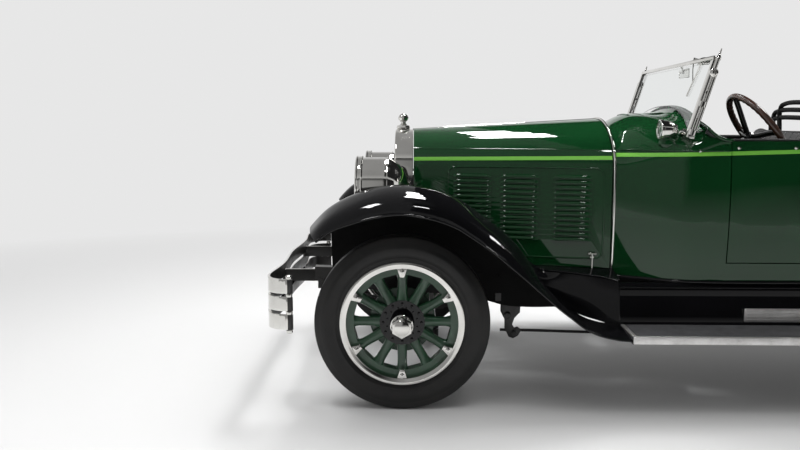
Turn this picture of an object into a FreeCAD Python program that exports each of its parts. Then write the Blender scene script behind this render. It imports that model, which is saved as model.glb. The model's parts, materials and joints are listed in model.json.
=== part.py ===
import FreeCAD
import Part

import math
import os

# A 1920s open touring car: ladder frame, wood-spoked wheels, folding hood and four doors
# Millimetres. +X forward, +Y to the car's left, +Z up, ground at Z = 0
# Lengths along the car are given as "behind", the distance behind the front axle


# Driving dimensions of the whole car
WHEELBASE = 3330.0
TRACK = 1422.0
FRONT_OVERHANG = 620.0
REAR_OVERHANG = 980.0

# Wheels
TYRE_RADIUS = 402.5
TYRE_WIDTH = 140.0
RIM_RADIUS = 284.0
RIM_SEAT_RADIUS = 262.0
RIM_WIDTH = 118.0
RIM_WALL = 6.0
FELLOE_DEPTH = 34.0
FELLOE_WIDTH = 56.0
SPOKE_COUNT = 12
SPOKE_ROOT = 46.0
SPOKE_TIP = 30.0
LUG_COUNT = 6
LUG_WIDTH = 30.0
HUB_FLANGE_RADIUS = 103.0
HUB_FLANGE_THICKNESS = 8.0
HUB_BARREL_RADIUS = 46.0
HUB_REACH = 189.0
HUB_NUT_ACROSS = 82.0
HUB_NUT_LENGTH = 42.0
HUB_INNER_REACH = 62.0
SPINDLE_RADIUS = 22.0
SPINDLE_END = 120.0

# Running clearances
SHAFT_CLEARANCE = 0.05
SEAT_GAP = 0.3
PANEL_GAP = 5.0

# Steering
KINGPIN_OFFSET = 121.0
KINGPIN_RADIUS = 12.0
STEER_ARM_LENGTH = 150.0
TIE_ROD_RADIUS = 13.0
TIE_ROD_HEIGHT = 318.0

# Frame
RAIL_OFFSET = 385.0
RAIL_WIDTH = 56.0
RAIL_WALL = 8.0
RAIL_BOTTOM = 470.0
RAIL_TOP = 582.0
KICK_UP = 130.0

# Body
BODY_BOTTOM = 560.0
BODY_RAIL = 1224.0
BODY_HALF_WIDTH = 612.0
BODY_WIDEST_HEIGHT = 900.0
BODY_TUMBLEHOME = 1.9e-4
WALL = 45.0
FLOOR_THICKNESS = 30.0
COWL_FRONT = 1012.0
COWL_REAR = 1400.0
DOOR_FRONT = 1505.0
DOOR_LENGTH = 580.0
PILLAR_LENGTH = 100.0
DOOR_BOTTOM = 662.0
BODY_REAR = 3580.0

# Hood and radiator
HOOD_FRONT = 43.0
HOOD_HALF_FRONT = 229.0
HOOD_HALF_REAR = 440.0
HOOD_BOTTOM = 604.0
HOOD_SHOULDER = 1178.0
HOOD_SPRING = 1080.0
HOOD_TOP_FRONT = 1276.0
HOOD_TOP_REAR = 1330.0
HOOD_WALL = 6.0
RADIATOR_FRONT = -50.0

# Fenders and running boards
FENDER_CROWN_Y = 650.0
FENDER_LIP_Y = 860.0
SHEET = 4.0
BOARD_TOP = 371.0
BOARD_THICKNESS = 31.0
BOARD_INNER_Y = 635.0
BOARD_FRONT = 1019.0
BOARD_REAR = 2790.0

LENGTH = FRONT_OVERHANG + WHEELBASE + REAR_OVERHANG
FRONT_AXLE_X = LENGTH / 2 - FRONT_OVERHANG
WHEEL_Y = TRACK / 2
KINGPIN_Y = WHEEL_Y - KINGPIN_OFFSET
WHEEL_Z = TYRE_RADIUS


# Small helpers for places and plain solids
def vec(behind, y, z):
    """A point given by its distance behind the front axle."""
    return FreeCAD.Vector(FRONT_AXLE_X - behind, y, z)


def box(behind_0, behind_1, y_0, y_1, z_0, z_1):
    """A block between two distances behind the front axle."""
    corner = vec(max(behind_0, behind_1), min(y_0, y_1), min(z_0, z_1))
    return Part.makeBox(abs(behind_1 - behind_0), abs(y_1 - y_0), abs(z_1 - z_0), corner)


def rod(start, end, radius):
    """A round bar between two points."""
    axis = end - start
    return Part.makeCylinder(radius, axis.Length, start, axis)


def mirrored(shape):
    """The same piece on the car's right side."""
    return shape.mirror(FreeCAD.Vector(0, 0, 0), FreeCAD.Vector(0, 1, 0))


def fused(shapes):
    result = shapes[0]
    if len(shapes) > 1:
        result = result.fuse(shapes[1:])
    return result.removeSplitter()


def profile_side(points, y_0, y_1):
    """Extrudes an outline, drawn as (behind, z), across the car."""
    corners = [vec(b, y_0, z) for b, z in points]
    face = Part.Face(Part.makePolygon(corners + corners[:1]))
    return face.extrude(FreeCAD.Vector(0, y_1 - y_0, 0))


def smooth_side(points, y_0, y_1, closing=()):
    """Extrudes a smooth top line closed by straight corners across the car."""
    spline = Part.BSplineCurve()
    spline.interpolate([vec(b, y_0, z) for b, z in points])
    edges = [spline.toShape()]
    corners = [vec(*points[-1][:1], y_0, points[-1][1])]
    corners += [vec(b, y_0, z) for b, z in closing]
    corners.append(vec(points[0][0], y_0, points[0][1]))
    edges += [Part.makeLine(a, b) for a, b in zip(corners, corners[1:])]
    face = Part.Face(Part.Wire(edges))
    return face.extrude(FreeCAD.Vector(0, y_1 - y_0, 0))


def revolve(points, centre, axis, radial):
    """Turns an outline of (along, radius) about an axis through centre."""
    corners = [centre + axis * a + radial * r for a, r in points]
    face = Part.Face(Part.makePolygon(corners + corners[:1]))
    return face.revolve(centre, axis, 360)


# Wheels: built about the wheel centre with the outboard side towards +Y
OUTBOARD = FreeCAD.Vector(0, 1, 0)
UP = FreeCAD.Vector(0, 0, 1)
FORWARD = FreeCAD.Vector(1, 0, 0)
ORIGIN = FreeCAD.Vector(0, 0, 0)


def at(along, radius):
    return OUTBOARD * along + UP * radius


def tyre_shape():
    """Balloon tyre: beads between the rim's flanges, full sidewalls and a flat tread."""
    seat = RIM_SEAT_RADIUS + SEAT_GAP
    half = TYRE_WIDTH / 2
    widest = (seat + TYRE_RADIUS) / 2 + 14
    tread = half - 18
    flange_share = (RIM_RADIUS - seat) / (widest - seat)
    flange_inside = RIM_WIDTH / 2 - RIM_WALL - 2 * SEAT_GAP
    bead = (flange_inside - half * flange_share) / (1 - flange_share)
    outline = [
        (-bead, seat),
        (bead, seat),
        (half, widest),
        (tread, TYRE_RADIUS),
        (-tread, TYRE_RADIUS),
        (-half, widest),
    ]
    return revolve(outline, ORIGIN, OUTBOARD, UP)


def rim_shape():
    """Demountable steel rim with its wedge lugs on the outboard side."""
    half = RIM_WIDTH / 2
    outline = [
        (-half, RIM_SEAT_RADIUS - RIM_WALL),
        (half, RIM_SEAT_RADIUS - RIM_WALL),
        (half, RIM_RADIUS),
        (half - RIM_WALL, RIM_RADIUS),
        (half - RIM_WALL, RIM_SEAT_RADIUS),
        (RIM_WALL - half, RIM_SEAT_RADIUS),
        (RIM_WALL - half, RIM_RADIUS),
        (-half, RIM_RADIUS),
    ]
    ring = revolve(outline, ORIGIN, OUTBOARD, UP)
    lug_outline = [
        (FELLOE_WIDTH / 2 + SEAT_GAP, RIM_SEAT_RADIUS - FELLOE_DEPTH),
        (FELLOE_WIDTH / 2 + 14, RIM_SEAT_RADIUS - FELLOE_DEPTH),
        (FELLOE_WIDTH / 2 + 20, RIM_SEAT_RADIUS - RIM_WALL / 2),
        (FELLOE_WIDTH / 2 + SEAT_GAP, RIM_SEAT_RADIUS - RIM_WALL / 2),
    ]
    corners = [at(a, r) + FORWARD * (LUG_WIDTH / 2) for a, r in lug_outline]
    lug = Part.Face(Part.makePolygon(corners + corners[:1])).extrude(FORWARD * -LUG_WIDTH)
    pieces = [ring]
    for k in range(LUG_COUNT):
        turned = lug.copy()
        turned.rotate(ORIGIN, OUTBOARD, 360.0 * k / LUG_COUNT)
        pieces.append(turned)
    return fused(pieces)


def spoke_shape(inner, outer):
    """One turned wood spoke, stout at the hub and slim towards the felloe."""
    root = SPOKE_ROOT / 2
    tip = SPOKE_TIP / 2
    waist = inner + (outer - inner) * 0.5
    outline = [(inner, 0), (inner, root), (waist, tip), (outer - 16, tip), (outer, tip + 3), (outer, 0)]
    return revolve(outline, ORIGIN, UP, FORWARD)


def faceted_prism(count, apothem, low, high):
    """A prism along the axle whose flats face the spokes."""
    corner = apothem / math.cos(math.pi / count)
    points = []
    for k in range(count):
        angle = 2 * math.pi * (k + 0.5) / count
        points.append(OUTBOARD * low + UP * (corner * math.cos(angle)) + FORWARD * (corner * math.sin(angle)))
    return Part.Face(Part.makePolygon(points + points[:1])).extrude(OUTBOARD * (high - low))


def felloe_shape():
    """Bent wood ring; its inner side has a flat for each spoke and one between."""
    outer = RIM_SEAT_RADIUS - RIM_WALL - SEAT_GAP
    half = FELLOE_WIDTH / 2
    ring = Part.makeCylinder(outer, FELLOE_WIDTH, OUTBOARD * -half, OUTBOARD)
    return ring.cut(faceted_prism(2 * SPOKE_COUNT, outer - FELLOE_DEPTH, -half - 1, half + 1))


def hub_shape():
    """Steel hub: barrel, two flanges that clamp the spoke roots, and a long cap."""
    flange = SPOKE_ROOT / 2
    bore = SPINDLE_RADIUS + SHAFT_CLEARANCE
    nut_start = HUB_REACH - HUB_NUT_LENGTH
    outline = [
        (-HUB_INNER_REACH, bore),
        (-HUB_INNER_REACH, HUB_BARREL_RADIUS),
        (-flange - HUB_FLANGE_THICKNESS, HUB_BARREL_RADIUS + 8),
        (-flange - HUB_FLANGE_THICKNESS, HUB_FLANGE_RADIUS),
        (-flange, HUB_FLANGE_RADIUS),
        (-flange, HUB_BARREL_RADIUS),
        (flange, HUB_BARREL_RADIUS),
        (flange, HUB_FLANGE_RADIUS),
        (flange + HUB_FLANGE_THICKNESS, HUB_FLANGE_RADIUS),
        (flange + HUB_FLANGE_THICKNESS, HUB_BARREL_RADIUS + 10),
        (nut_start, HUB_BARREL_RADIUS - 4),
        (nut_start, 0),
        (SPINDLE_END + 2, 0),
        (SPINDLE_END + 2, bore),
    ]
    barrel = revolve(outline, ORIGIN, OUTBOARD, UP)
    nut = faceted_prism(6, HUB_NUT_ACROSS / 2, nut_start, HUB_REACH)
    return barrel.fuse(nut)


def wheel_shape():
    """Wood artillery wheel: felloe ring, spokes and the steel hub that clamps them."""
    felloe = felloe_shape()
    root = SPOKE_ROOT / 2
    root_apothem = HUB_FLANGE_RADIUS - 6
    roots = faceted_prism(SPOKE_COUNT, root_apothem, -root, root)
    roots = roots.cut(Part.makeCylinder(HUB_BARREL_RADIUS - 2, 2 * root + 2, OUTBOARD * (-root - 1), OUTBOARD))
    inner = RIM_SEAT_RADIUS - RIM_WALL - SEAT_GAP - FELLOE_DEPTH
    spoke = spoke_shape(root_apothem, inner)
    pieces = [felloe, hub_shape(), roots]
    for k in range(SPOKE_COUNT):
        turned = spoke.copy()
        turned.rotate(ORIGIN, OUTBOARD, 360.0 * k / SPOKE_COUNT)
        pieces.append(turned)
    return fused(pieces)


def wheel_set(behind, side):
    """Tyre, rim and wheel placed on one axle end; side is +1 left, -1 right."""
    shapes = []
    for shape in (tyre_shape(), rim_shape(), wheel_shape()):
        shape.translate(vec(behind, WHEEL_Y, WHEEL_Z))
        shapes.append(shape if side > 0 else mirrored(shape))
    return shapes


# Front axle, knuckles and tie rod
AXLE_DEPTH = 56.0
AXLE_WIDTH = 46.0
AXLE_DROP = 60.0
KINGPIN_BOSS = 26.0
KINGPIN_HALF = 44.0


def front_axle():
    """I-section beam, dropped between the kingpin bosses."""
    top = WHEEL_Z - AXLE_DROP + AXLE_DEPTH / 2
    end_y = KINGPIN_Y
    knee = KINGPIN_Y - 120
    outline = [
        (-end_y, WHEEL_Z + AXLE_DEPTH / 2 - 8),
        (-end_y, WHEEL_Z - AXLE_DEPTH / 2 + 8),
        (-knee, top - AXLE_DEPTH),
        (knee, top - AXLE_DEPTH),
        (end_y, WHEEL_Z - AXLE_DEPTH / 2 + 8),
        (end_y, WHEEL_Z + AXLE_DEPTH / 2 - 8),
        (knee, top),
        (-knee, top),
    ]
    corners = [vec(AXLE_WIDTH / 2, y, z) for y, z in outline]
    beam = Part.Face(Part.makePolygon(corners + corners[:1])).extrude(FORWARD * AXLE_WIDTH)
    recess = Part.makeBox(AXLE_WIDTH / 2 - 5, 2 * knee - 40, AXLE_DEPTH - 24)
    for behind in (AXLE_WIDTH / 2, -5.0):
        pocket = recess.copy()
        pocket.translate(vec(behind, 20 - knee, top - AXLE_DEPTH + 12))
        beam = beam.cut(pocket)
    pieces = [beam]
    for side in (1, -1):
        low = vec(0, side * end_y, WHEEL_Z - KINGPIN_HALF)
        pieces.append(Part.makeCylinder(KINGPIN_BOSS, 2 * KINGPIN_HALF, low, UP))
    axle = fused(pieces)
    for side in (1, -1):
        low = vec(0, side * end_y, WHEEL_Z - KINGPIN_HALF - 1)
        axle = axle.cut(Part.makeCylinder(KINGPIN_RADIUS + SHAFT_CLEARANCE, 2 * KINGPIN_HALF + 2, low, UP))
    return axle


def knuckle():
    """Forked left knuckle with its kingpin, wheel spindle and rearward steering arm."""
    centre = vec(0, KINGPIN_Y, WHEEL_Z)
    gap = 2.0
    ear = 18.0
    reach = KINGPIN_HALF + gap + ear
    pin = Part.makeCylinder(KINGPIN_RADIUS, 2 * reach, centre - UP * reach, UP)
    pieces = [pin]
    for z_low in (centre.z + KINGPIN_HALF + gap, centre.z - reach):
        eye = Part.makeCylinder(KINGPIN_BOSS, ear, FreeCAD.Vector(centre.x, centre.y, z_low), UP)
        web = Part.makeBox(2 * KINGPIN_BOSS, 50, ear, FreeCAD.Vector(centre.x - KINGPIN_BOSS, centre.y, z_low))
        pieces += [eye, web]
    back = Part.makeBox(
        2 * KINGPIN_BOSS,
        18,
        2 * reach,
        FreeCAD.Vector(centre.x - KINGPIN_BOSS, centre.y + 32, centre.z - reach),
    )
    start = FreeCAD.Vector(centre.x, centre.y + 32, centre.z)
    end = FreeCAD.Vector(centre.x, WHEEL_Y + SPINDLE_END, centre.z)
    pieces += [back, rod(start, end, SPINDLE_RADIUS)]
    arm_z = TIE_ROD_HEIGHT + 24
    arm = box(0, STEER_ARM_LENGTH, KINGPIN_Y - 14, KINGPIN_Y + 14, arm_z, arm_z + 14)
    eye = Part.makeCylinder(20, 14, vec(STEER_ARM_LENGTH, KINGPIN_Y, arm_z), UP)
    stem = box(-14, 14, KINGPIN_Y - 14, KINGPIN_Y + 14, arm_z, WHEEL_Z - reach + 4)
    ball = Part.makeCylinder(8, 48, vec(STEER_ARM_LENGTH, KINGPIN_Y, TIE_ROD_HEIGHT - 20), UP)
    pieces += [arm, eye, stem, ball]
    return fused(pieces)


def tie_rod():
    """Rod behind the axle that turns both knuckles together."""
    left = vec(STEER_ARM_LENGTH, KINGPIN_Y, TIE_ROD_HEIGHT)
    right = vec(STEER_ARM_LENGTH, -KINGPIN_Y, TIE_ROD_HEIGHT)
    pieces = [rod(right, left, TIE_ROD_RADIUS)]
    for end in (left, right):
        pieces.append(Part.makeCylinder(20, 30, end - UP * 15, UP))
    bar = fused(pieces)
    for end in (left, right):
        bar = bar.cut(Part.makeCylinder(8 + SHAFT_CLEARANCE, 60, end - UP * 30, UP))
    return bar


# Frame, springs and running gear
def rail_outline(inset):
    """Side elevation of a frame rail, as (behind, z); it kicks up over the rear axle."""
    low = RAIL_BOTTOM + inset
    top = RAIL_TOP - inset
    rear = WHEELBASE + REAR_OVERHANG - 330
    return [
        (-440 + inset, 540 + inset),
        (-200, low + 20),
        (60, low),
        (WHEELBASE - 640, low),
        (WHEELBASE - 340, low + KICK_UP),
        (WHEELBASE + 300, low + KICK_UP),
        (rear - inset, low + KICK_UP - 60),
        (rear - inset, top + KICK_UP - 80),
        (WHEELBASE + 280, top + KICK_UP),
        (WHEELBASE - 360, top + KICK_UP),
        (WHEELBASE - 660, top),
        (60, top),
        (-200, top + 10),
        (-440 + inset, 600 - inset),
    ]


def frame():
    """Ladder frame: channel side rails, open inboard, with crossmembers."""
    outer_y = RAIL_OFFSET + RAIL_WIDTH / 2
    inner_y = RAIL_OFFSET - RAIL_WIDTH / 2
    rail = profile_side(rail_outline(0), inner_y, outer_y)
    channel = profile_side(rail_outline(RAIL_WALL), inner_y - 1, outer_y - RAIL_WALL)
    rail = rail.cut(channel)
    pieces = [rail, mirrored(rail)]
    span = RAIL_OFFSET + RAIL_WIDTH / 2 - RAIL_WALL / 2
    for behind, z_low, z_high, width in (
        (-150, RAIL_BOTTOM + 30, RAIL_TOP - 10, 50),
        (1120, RAIL_BOTTOM + 10, RAIL_BOTTOM + 60, 90),
        (2300, RAIL_BOTTOM + 10, RAIL_TOP - 20, 80),
        (WHEELBASE - 20, RAIL_BOTTOM + KICK_UP + 30, RAIL_TOP + KICK_UP - 10, 80),
        (WHEELBASE + 560, RAIL_BOTTOM + KICK_UP + 10, RAIL_TOP + KICK_UP - 60, 60),
    ):
        pieces.append(box(behind, behind + width, -span, span, z_low, z_high))
    ladder = fused(pieces)
    crank = rod(vec(-210, 0, CRANK_HEIGHT), vec(-60, 0, CRANK_HEIGHT), CRANK_RADIUS)
    return ladder.cut(crank)


CRANK_HEIGHT = 535.0
CRANK_RADIUS = 16.0
SPRING_WIDTH = 50.0
LEAF = 8.0
LEAF_COUNT = 7
SHACKLE_PLATE = 8.0


def leaf_pack(eye_front, eye_rear, seat_behind, seat_z, y, count):
    """Semi-elliptic spring: a curved main leaf over shorter ones, with rolled eyes."""
    front_b, front_z = eye_front
    rear_b, rear_z = eye_rear
    pieces = []
    for k in range(count):
        share = 1 - k / count
        b_0 = seat_behind + (front_b - seat_behind) * share
        b_1 = seat_behind + (rear_b - seat_behind) * share
        z_0 = seat_z + (front_z - seat_z) * share * share - k * LEAF
        z_1 = seat_z + (rear_z - seat_z) * share * share - k * LEAF
        mid = seat_z - k * LEAF
        arc = Part.Arc(vec(b_0, y, z_0), vec(seat_behind, y, mid), vec(b_1, y, z_1))
        arc_low = Part.Arc(vec(b_0, y, z_0 - LEAF), vec(seat_behind, y, mid - LEAF), vec(b_1, y, z_1 - LEAF))
        wire = Part.Wire([
            arc.toShape(),
            Part.makeLine(vec(b_1, y, z_1), vec(b_1, y, z_1 - LEAF)),
            arc_low.toShape(),
            Part.makeLine(vec(b_0, y, z_0 - LEAF), vec(b_0, y, z_0)),
        ])
        pieces.append(Part.Face(wire).extrude(OUTBOARD * SPRING_WIDTH))
    for b, z in (eye_front, eye_rear):
        centre = vec(b, y, z - LEAF / 2)
        pieces.append(Part.makeCylinder(16, SPRING_WIDTH, centre, OUTBOARD))
    return fused(pieces)


def leaf_springs():
    """All four leaf packs with the shackle plates that hang them from the frame."""
    y = RAIL_OFFSET - SPRING_WIDTH / 2
    front_seat = WHEEL_Z - AXLE_DROP + AXLE_DEPTH / 2 + SEAT_GAP + LEAF * LEAF_COUNT
    front = leaf_pack((-410, 512), (470, 446), 0, front_seat, y, LEAF_COUNT)
    rear_top = WHEEL_Z - REAR_TUBE_RADIUS - SEAT_GAP
    rear = leaf_pack((WHEELBASE - 560, 446), (WHEELBASE + 540, 500), WHEELBASE, rear_top, y, LEAF_COUNT)
    pieces = [front, rear]
    for behind, z_low, z_high, body in (
        (-410, 500, 545, front),
        (470, 440, RAIL_BOTTOM, front),
        (WHEELBASE - 560, 440, 497, rear),
        (WHEELBASE + 540, 490, 574, rear),
    ):
        for y_plate in (y - SHACKLE_PLATE, y + SPRING_WIDTH):
            pieces.append(box(behind - 14, behind + 14, y_plate, y_plate + SHACKLE_PLATE, z_low - 8, z_high))
    left = fused(pieces).cut(frame())
    return Part.makeCompound([left, mirrored(left)])


REAR_TUBE_RADIUS = 42.0
DIFF_RADIUS = 145.0


def rear_axle():
    """Live axle: tubes, banjo case and the torque tube towards the gearbox."""
    tube_end = WHEEL_Y - HUB_INNER_REACH - 2
    centre = vec(WHEELBASE, 0, WHEEL_Z)
    tubes = rod(centre - OUTBOARD * tube_end, centre + OUTBOARD * tube_end, REAR_TUBE_RADIUS)
    shaft_end = WHEEL_Y + SPINDLE_END
    shaft = rod(centre - OUTBOARD * shaft_end, centre + OUTBOARD * shaft_end, SPINDLE_RADIUS)
    case = Part.makeSphere(DIFF_RADIUS, centre)
    case = case.common(box(WHEELBASE - 200, WHEELBASE + 200, -95, 95, 0, 900))
    torque = Part.makeCone(60, 38, 900, centre + FORWARD * 100, FORWARD)
    return fused([tubes, shaft, case, torque])


def engine_block():
    """Engine and gearbox as one plain block at their real place."""
    engine = box(180, 960, -150, 150, 470, 1060)
    gearbox = box(950, 1380, -120, 120, 440, RAIL_TOP - PANEL_GAP)
    return fused([engine, gearbox]).cut(frame())


def exhaust():
    """Pipe and silencer under the right-hand side."""
    y = -285.0
    z = 322.0
    pipe = rod(vec(1000, y, z), vec(WHEELBASE + 760, y, z), 24)
    silencer = rod(vec(1750, y, z + 20), vec(2400, y, z + 20), 68)
    pieces = [pipe, silencer]
    for behind in (1300, 2360):
        pieces.append(box(behind, behind + 24, y - 4, y + 4, z, RAIL_BOTTOM + 12))
        pieces.append(box(behind, behind + 24, y - RAIL_OFFSET + 330, y + 4, RAIL_BOTTOM + 4, RAIL_BOTTOM + 12))
    return fused(pieces).cut(frame())


def fuel_tank():
    """Round-ended tank slung between the rails behind the rear axle."""
    centre = vec(WHEELBASE + 440, 0, 498)
    half = RAIL_OFFSET - SPRING_WIDTH / 2 - SHACKLE_PLATE - SEAT_GAP
    body = rod(centre - OUTBOARD * half, centre + OUTBOARD * half, 118)
    return body.cut(frame())


# Radiator, lamps and bumpers
SHELL_HALF = 232.0
SHELL_BOTTOM = 592.0
SHELL_TOP = 1275.0
CORE_MARGIN = 38.0


def arch_points(half, spring, top, power, start=0.0, stop=180.0, count=13):
    """Points of a superellipse arch in the cross plane, from left to right."""
    points = []
    for k in range(count):
        angle = math.radians(start + (stop - start) * k / (count - 1))
        c = math.cos(angle)
        s = math.sin(angle)
        y = math.copysign(abs(c) ** (2 / power), c) * half
        z = spring + (top - spring) * abs(s) ** (2 / power)
        points.append((y, z))
    return points


def spline_across(behind, points):
    curve = Part.BSplineCurve()
    curve.interpolate([vec(behind, y, z) for y, z in points])
    return curve.toShape()


def arch_wire(behind, half, bottom, spring, top, power=2.0):
    """Closed section: flat bottom, straight sides and an arched top."""
    return Part.Wire([
        Part.makeLine(vec(behind, -half, bottom), vec(behind, half, bottom)),
        Part.makeLine(vec(behind, half, bottom), vec(behind, half, spring)),
        spline_across(behind, arch_points(half, spring, top, power)),
        Part.makeLine(vec(behind, -half, spring), vec(behind, -half, bottom)),
    ])


def arch_prism(behind_0, behind_1, half, bottom, spring, top, power=2.0):
    face = Part.Face(arch_wire(behind_0, half, bottom, spring, top, power))
    return face.extrude(FreeCAD.Vector(behind_0 - behind_1, 0, 0))


def radiator_shell():
    """Polished shell: a deep arched band round the core with a rolled front lip."""
    outer = arch_prism(RADIATOR_FRONT, HOOD_FRONT, SHELL_HALF, SHELL_BOTTOM, HOOD_SPRING, SHELL_TOP)
    inner = arch_prism(
        RADIATOR_FRONT - 1,
        HOOD_FRONT + 1,
        SHELL_HALF - CORE_MARGIN,
        SHELL_BOTTOM + CORE_MARGIN,
        HOOD_SPRING,
        SHELL_TOP - CORE_MARGIN - 40,
    )
    rear = arch_prism(
        RADIATOR_FRONT + 22,
        HOOD_FRONT + 1,
        SHELL_HALF - 5,
        SHELL_BOTTOM + 5,
        HOOD_SPRING,
        SHELL_TOP - 5,
    )
    shell = outer.cut(inner).cut(rear)
    rim = [e for e in shell.Edges if e.BoundBox.XMin > FRONT_AXLE_X - RADIATOR_FRONT - 0.01]
    outer_rim = [e for e in rim if abs(e.BoundBox.YMax - SHELL_HALF) < 1 or abs(e.BoundBox.YMin + SHELL_HALF) < 1]
    return shell.makeFillet(8, outer_rim)


def radiator_core():
    """Core and tanks filling the shell from behind."""
    core = arch_prism(
        RADIATOR_FRONT + 22 + SEAT_GAP,
        HOOD_FRONT - 1,
        SHELL_HALF - 5 - SEAT_GAP,
        SHELL_BOTTOM + 5 + SEAT_GAP,
        HOOD_SPRING,
        SHELL_TOP - 5 - SEAT_GAP,
    )
    return core


def radiator_cap():
    """Filler cap with a plain turned finial."""
    centre = vec(-8, 0, SHELL_TOP + 0.2)
    outline = [
        (0, 0),
        (0, 34),
        (8, 37),
        (18, 34),
        (22, 20),
        (30, 13),
        (38, 15),
        (46, 24),
        (58, 29),
        (70, 24),
        (79, 13),
        (84, 0),
    ]
    return revolve(outline, centre, UP, FORWARD)


LAMP_Y = 372.0
LAMP_Z = 1000.0
LAMP_RADIUS = 146.0
LAMP_FRONT = -230.0
LAMP_TIP = 21.0
LAMP_POST = -120.0
LAMP_POST_FOOT = 589.8


def headlamps():
    """Two drum headlamps with domed backs, on posts joined by a tie bar."""
    pieces = []
    shells = []
    for side in (1, -1):
        nose = vec(LAMP_FRONT, side * LAMP_Y, LAMP_Z)
        back = -FORWARD
        rim_edges = revolve(
            [(0, 0), (0, LAMP_RADIUS - 4), (4, LAMP_RADIUS), (24, LAMP_RADIUS), (28, LAMP_RADIUS - 7), (28, 0)],
            nose,
            back,
            UP,
        )
        length = LAMP_TIP - LAMP_FRONT
        drum = LAMP_RADIUS - 7
        knee = 130.0
        dome = Part.BSplineCurve()
        angles = [math.radians(90 * k / 6) for k in range(7)]
        dome.interpolate([
            nose + back * (knee + (length - knee) * math.sin(a)) + UP * (drum * math.cos(a)) for a in angles
        ])
        outline = Part.Wire([
            Part.makeLine(nose + back * 20, nose + back * 20 + UP * drum),
            Part.makeLine(nose + back * 20 + UP * drum, nose + back * knee + UP * drum),
            dome.toShape(),
            Part.makeLine(nose + back * length, nose + back * 20),
        ])
        body = Part.Face(outline).revolve(nose, back, 360)
        recess = Part.makeCylinder(LAMP_RADIUS - 16, 18, nose - back, back)
        post = rod(vec(LAMP_POST, side * LAMP_Y, LAMP_POST_FOOT), vec(LAMP_POST, side * LAMP_Y, LAMP_Z - drum + 8), 15)
        shells.append(fused([rim_edges, body]).cut(recess))
        pieces.append(post)
    bar_z = LAMP_Z - LAMP_RADIUS - 26
    bar = rod(vec(LAMP_POST, -LAMP_Y, bar_z), vec(LAMP_POST, LAMP_Y, bar_z), 13)
    return fused(shells + pieces + [bar])


def headlamp_glass():
    panes = []
    for side in (1, -1):
        nose = vec(LAMP_FRONT + 6, side * LAMP_Y, LAMP_Z)
        panes.append(Part.makeCylinder(LAMP_RADIUS - 16 - SEAT_GAP, 5, nose, -FORWARD))
    return Part.makeCompound(panes)


BUMPER_BARS = ((547, 612), (467, 531), (381, 451))
BUMPER_HALF = 800.0
BAR_THICKNESS = 9.0


def bumper_bar(face, z_low, z_high, towards):
    """One bowed spring-steel bar; towards is +1 for a bar that faces forward."""
    outline = []
    for setback, depth in ((0.0, 0.0), (BAR_THICKNESS, BAR_THICKNESS)):
        points = [
            (-BUMPER_HALF, 120.0),
            (-BUMPER_HALF + 22, 40.0),
            (-BUMPER_HALF * 0.62, 10.0),
            (0.0, 0.0),
            (BUMPER_HALF * 0.62, 10.0),
            (BUMPER_HALF - 22, 40.0),
            (BUMPER_HALF, 120.0),
        ]
        outline.append([(y * (1 - setback / BUMPER_HALF), d + depth) for y, d in points])
    curves = []
    for points in outline:
        curve = Part.BSplineCurve()
        curve.interpolate([vec(face + towards * d, y, z_low) for y, d in points])
        curves.append(curve.toShape())
    ends = [(curves[0].valueAt(c0), curves[1].valueAt(c1)) for c0, c1 in (
        (curves[0].FirstParameter, curves[1].FirstParameter),
        (curves[0].LastParameter, curves[1].LastParameter),
    )]
    wire = Part.Wire([
        curves[0],
        Part.makeLine(ends[1][0], ends[1][1]),
        curves[1],
        Part.makeLine(ends[0][1], ends[0][0]),
    ])
    return Part.Face(wire).extrude(UP * (z_high - z_low))


def bumper(face, towards, horn):
    """Three bars on vertical end bolts, carried by two arms to the frame ends."""
    pieces = [bumper_bar(face, low, high, towards) for low, high in BUMPER_BARS]
    low = BUMPER_BARS[-1][0] - 4
    high = BUMPER_BARS[0][1] + 4
    for side in (1, -1):
        end = vec(face + towards * 112, side * (BUMPER_HALF - 8), low)
        pieces.append(Part.makeCylinder(10, high - low, end, UP))
        near = face + towards * 12
        pieces.append(box(near, near + towards * 12, side * 330, side * 380, low + 20, high - 20))
        pieces.append(box(near, horn, side * (RAIL_OFFSET - 30), side * (RAIL_OFFSET - 12), 520, 580))
    return fused(pieces).cut(frame())


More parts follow.
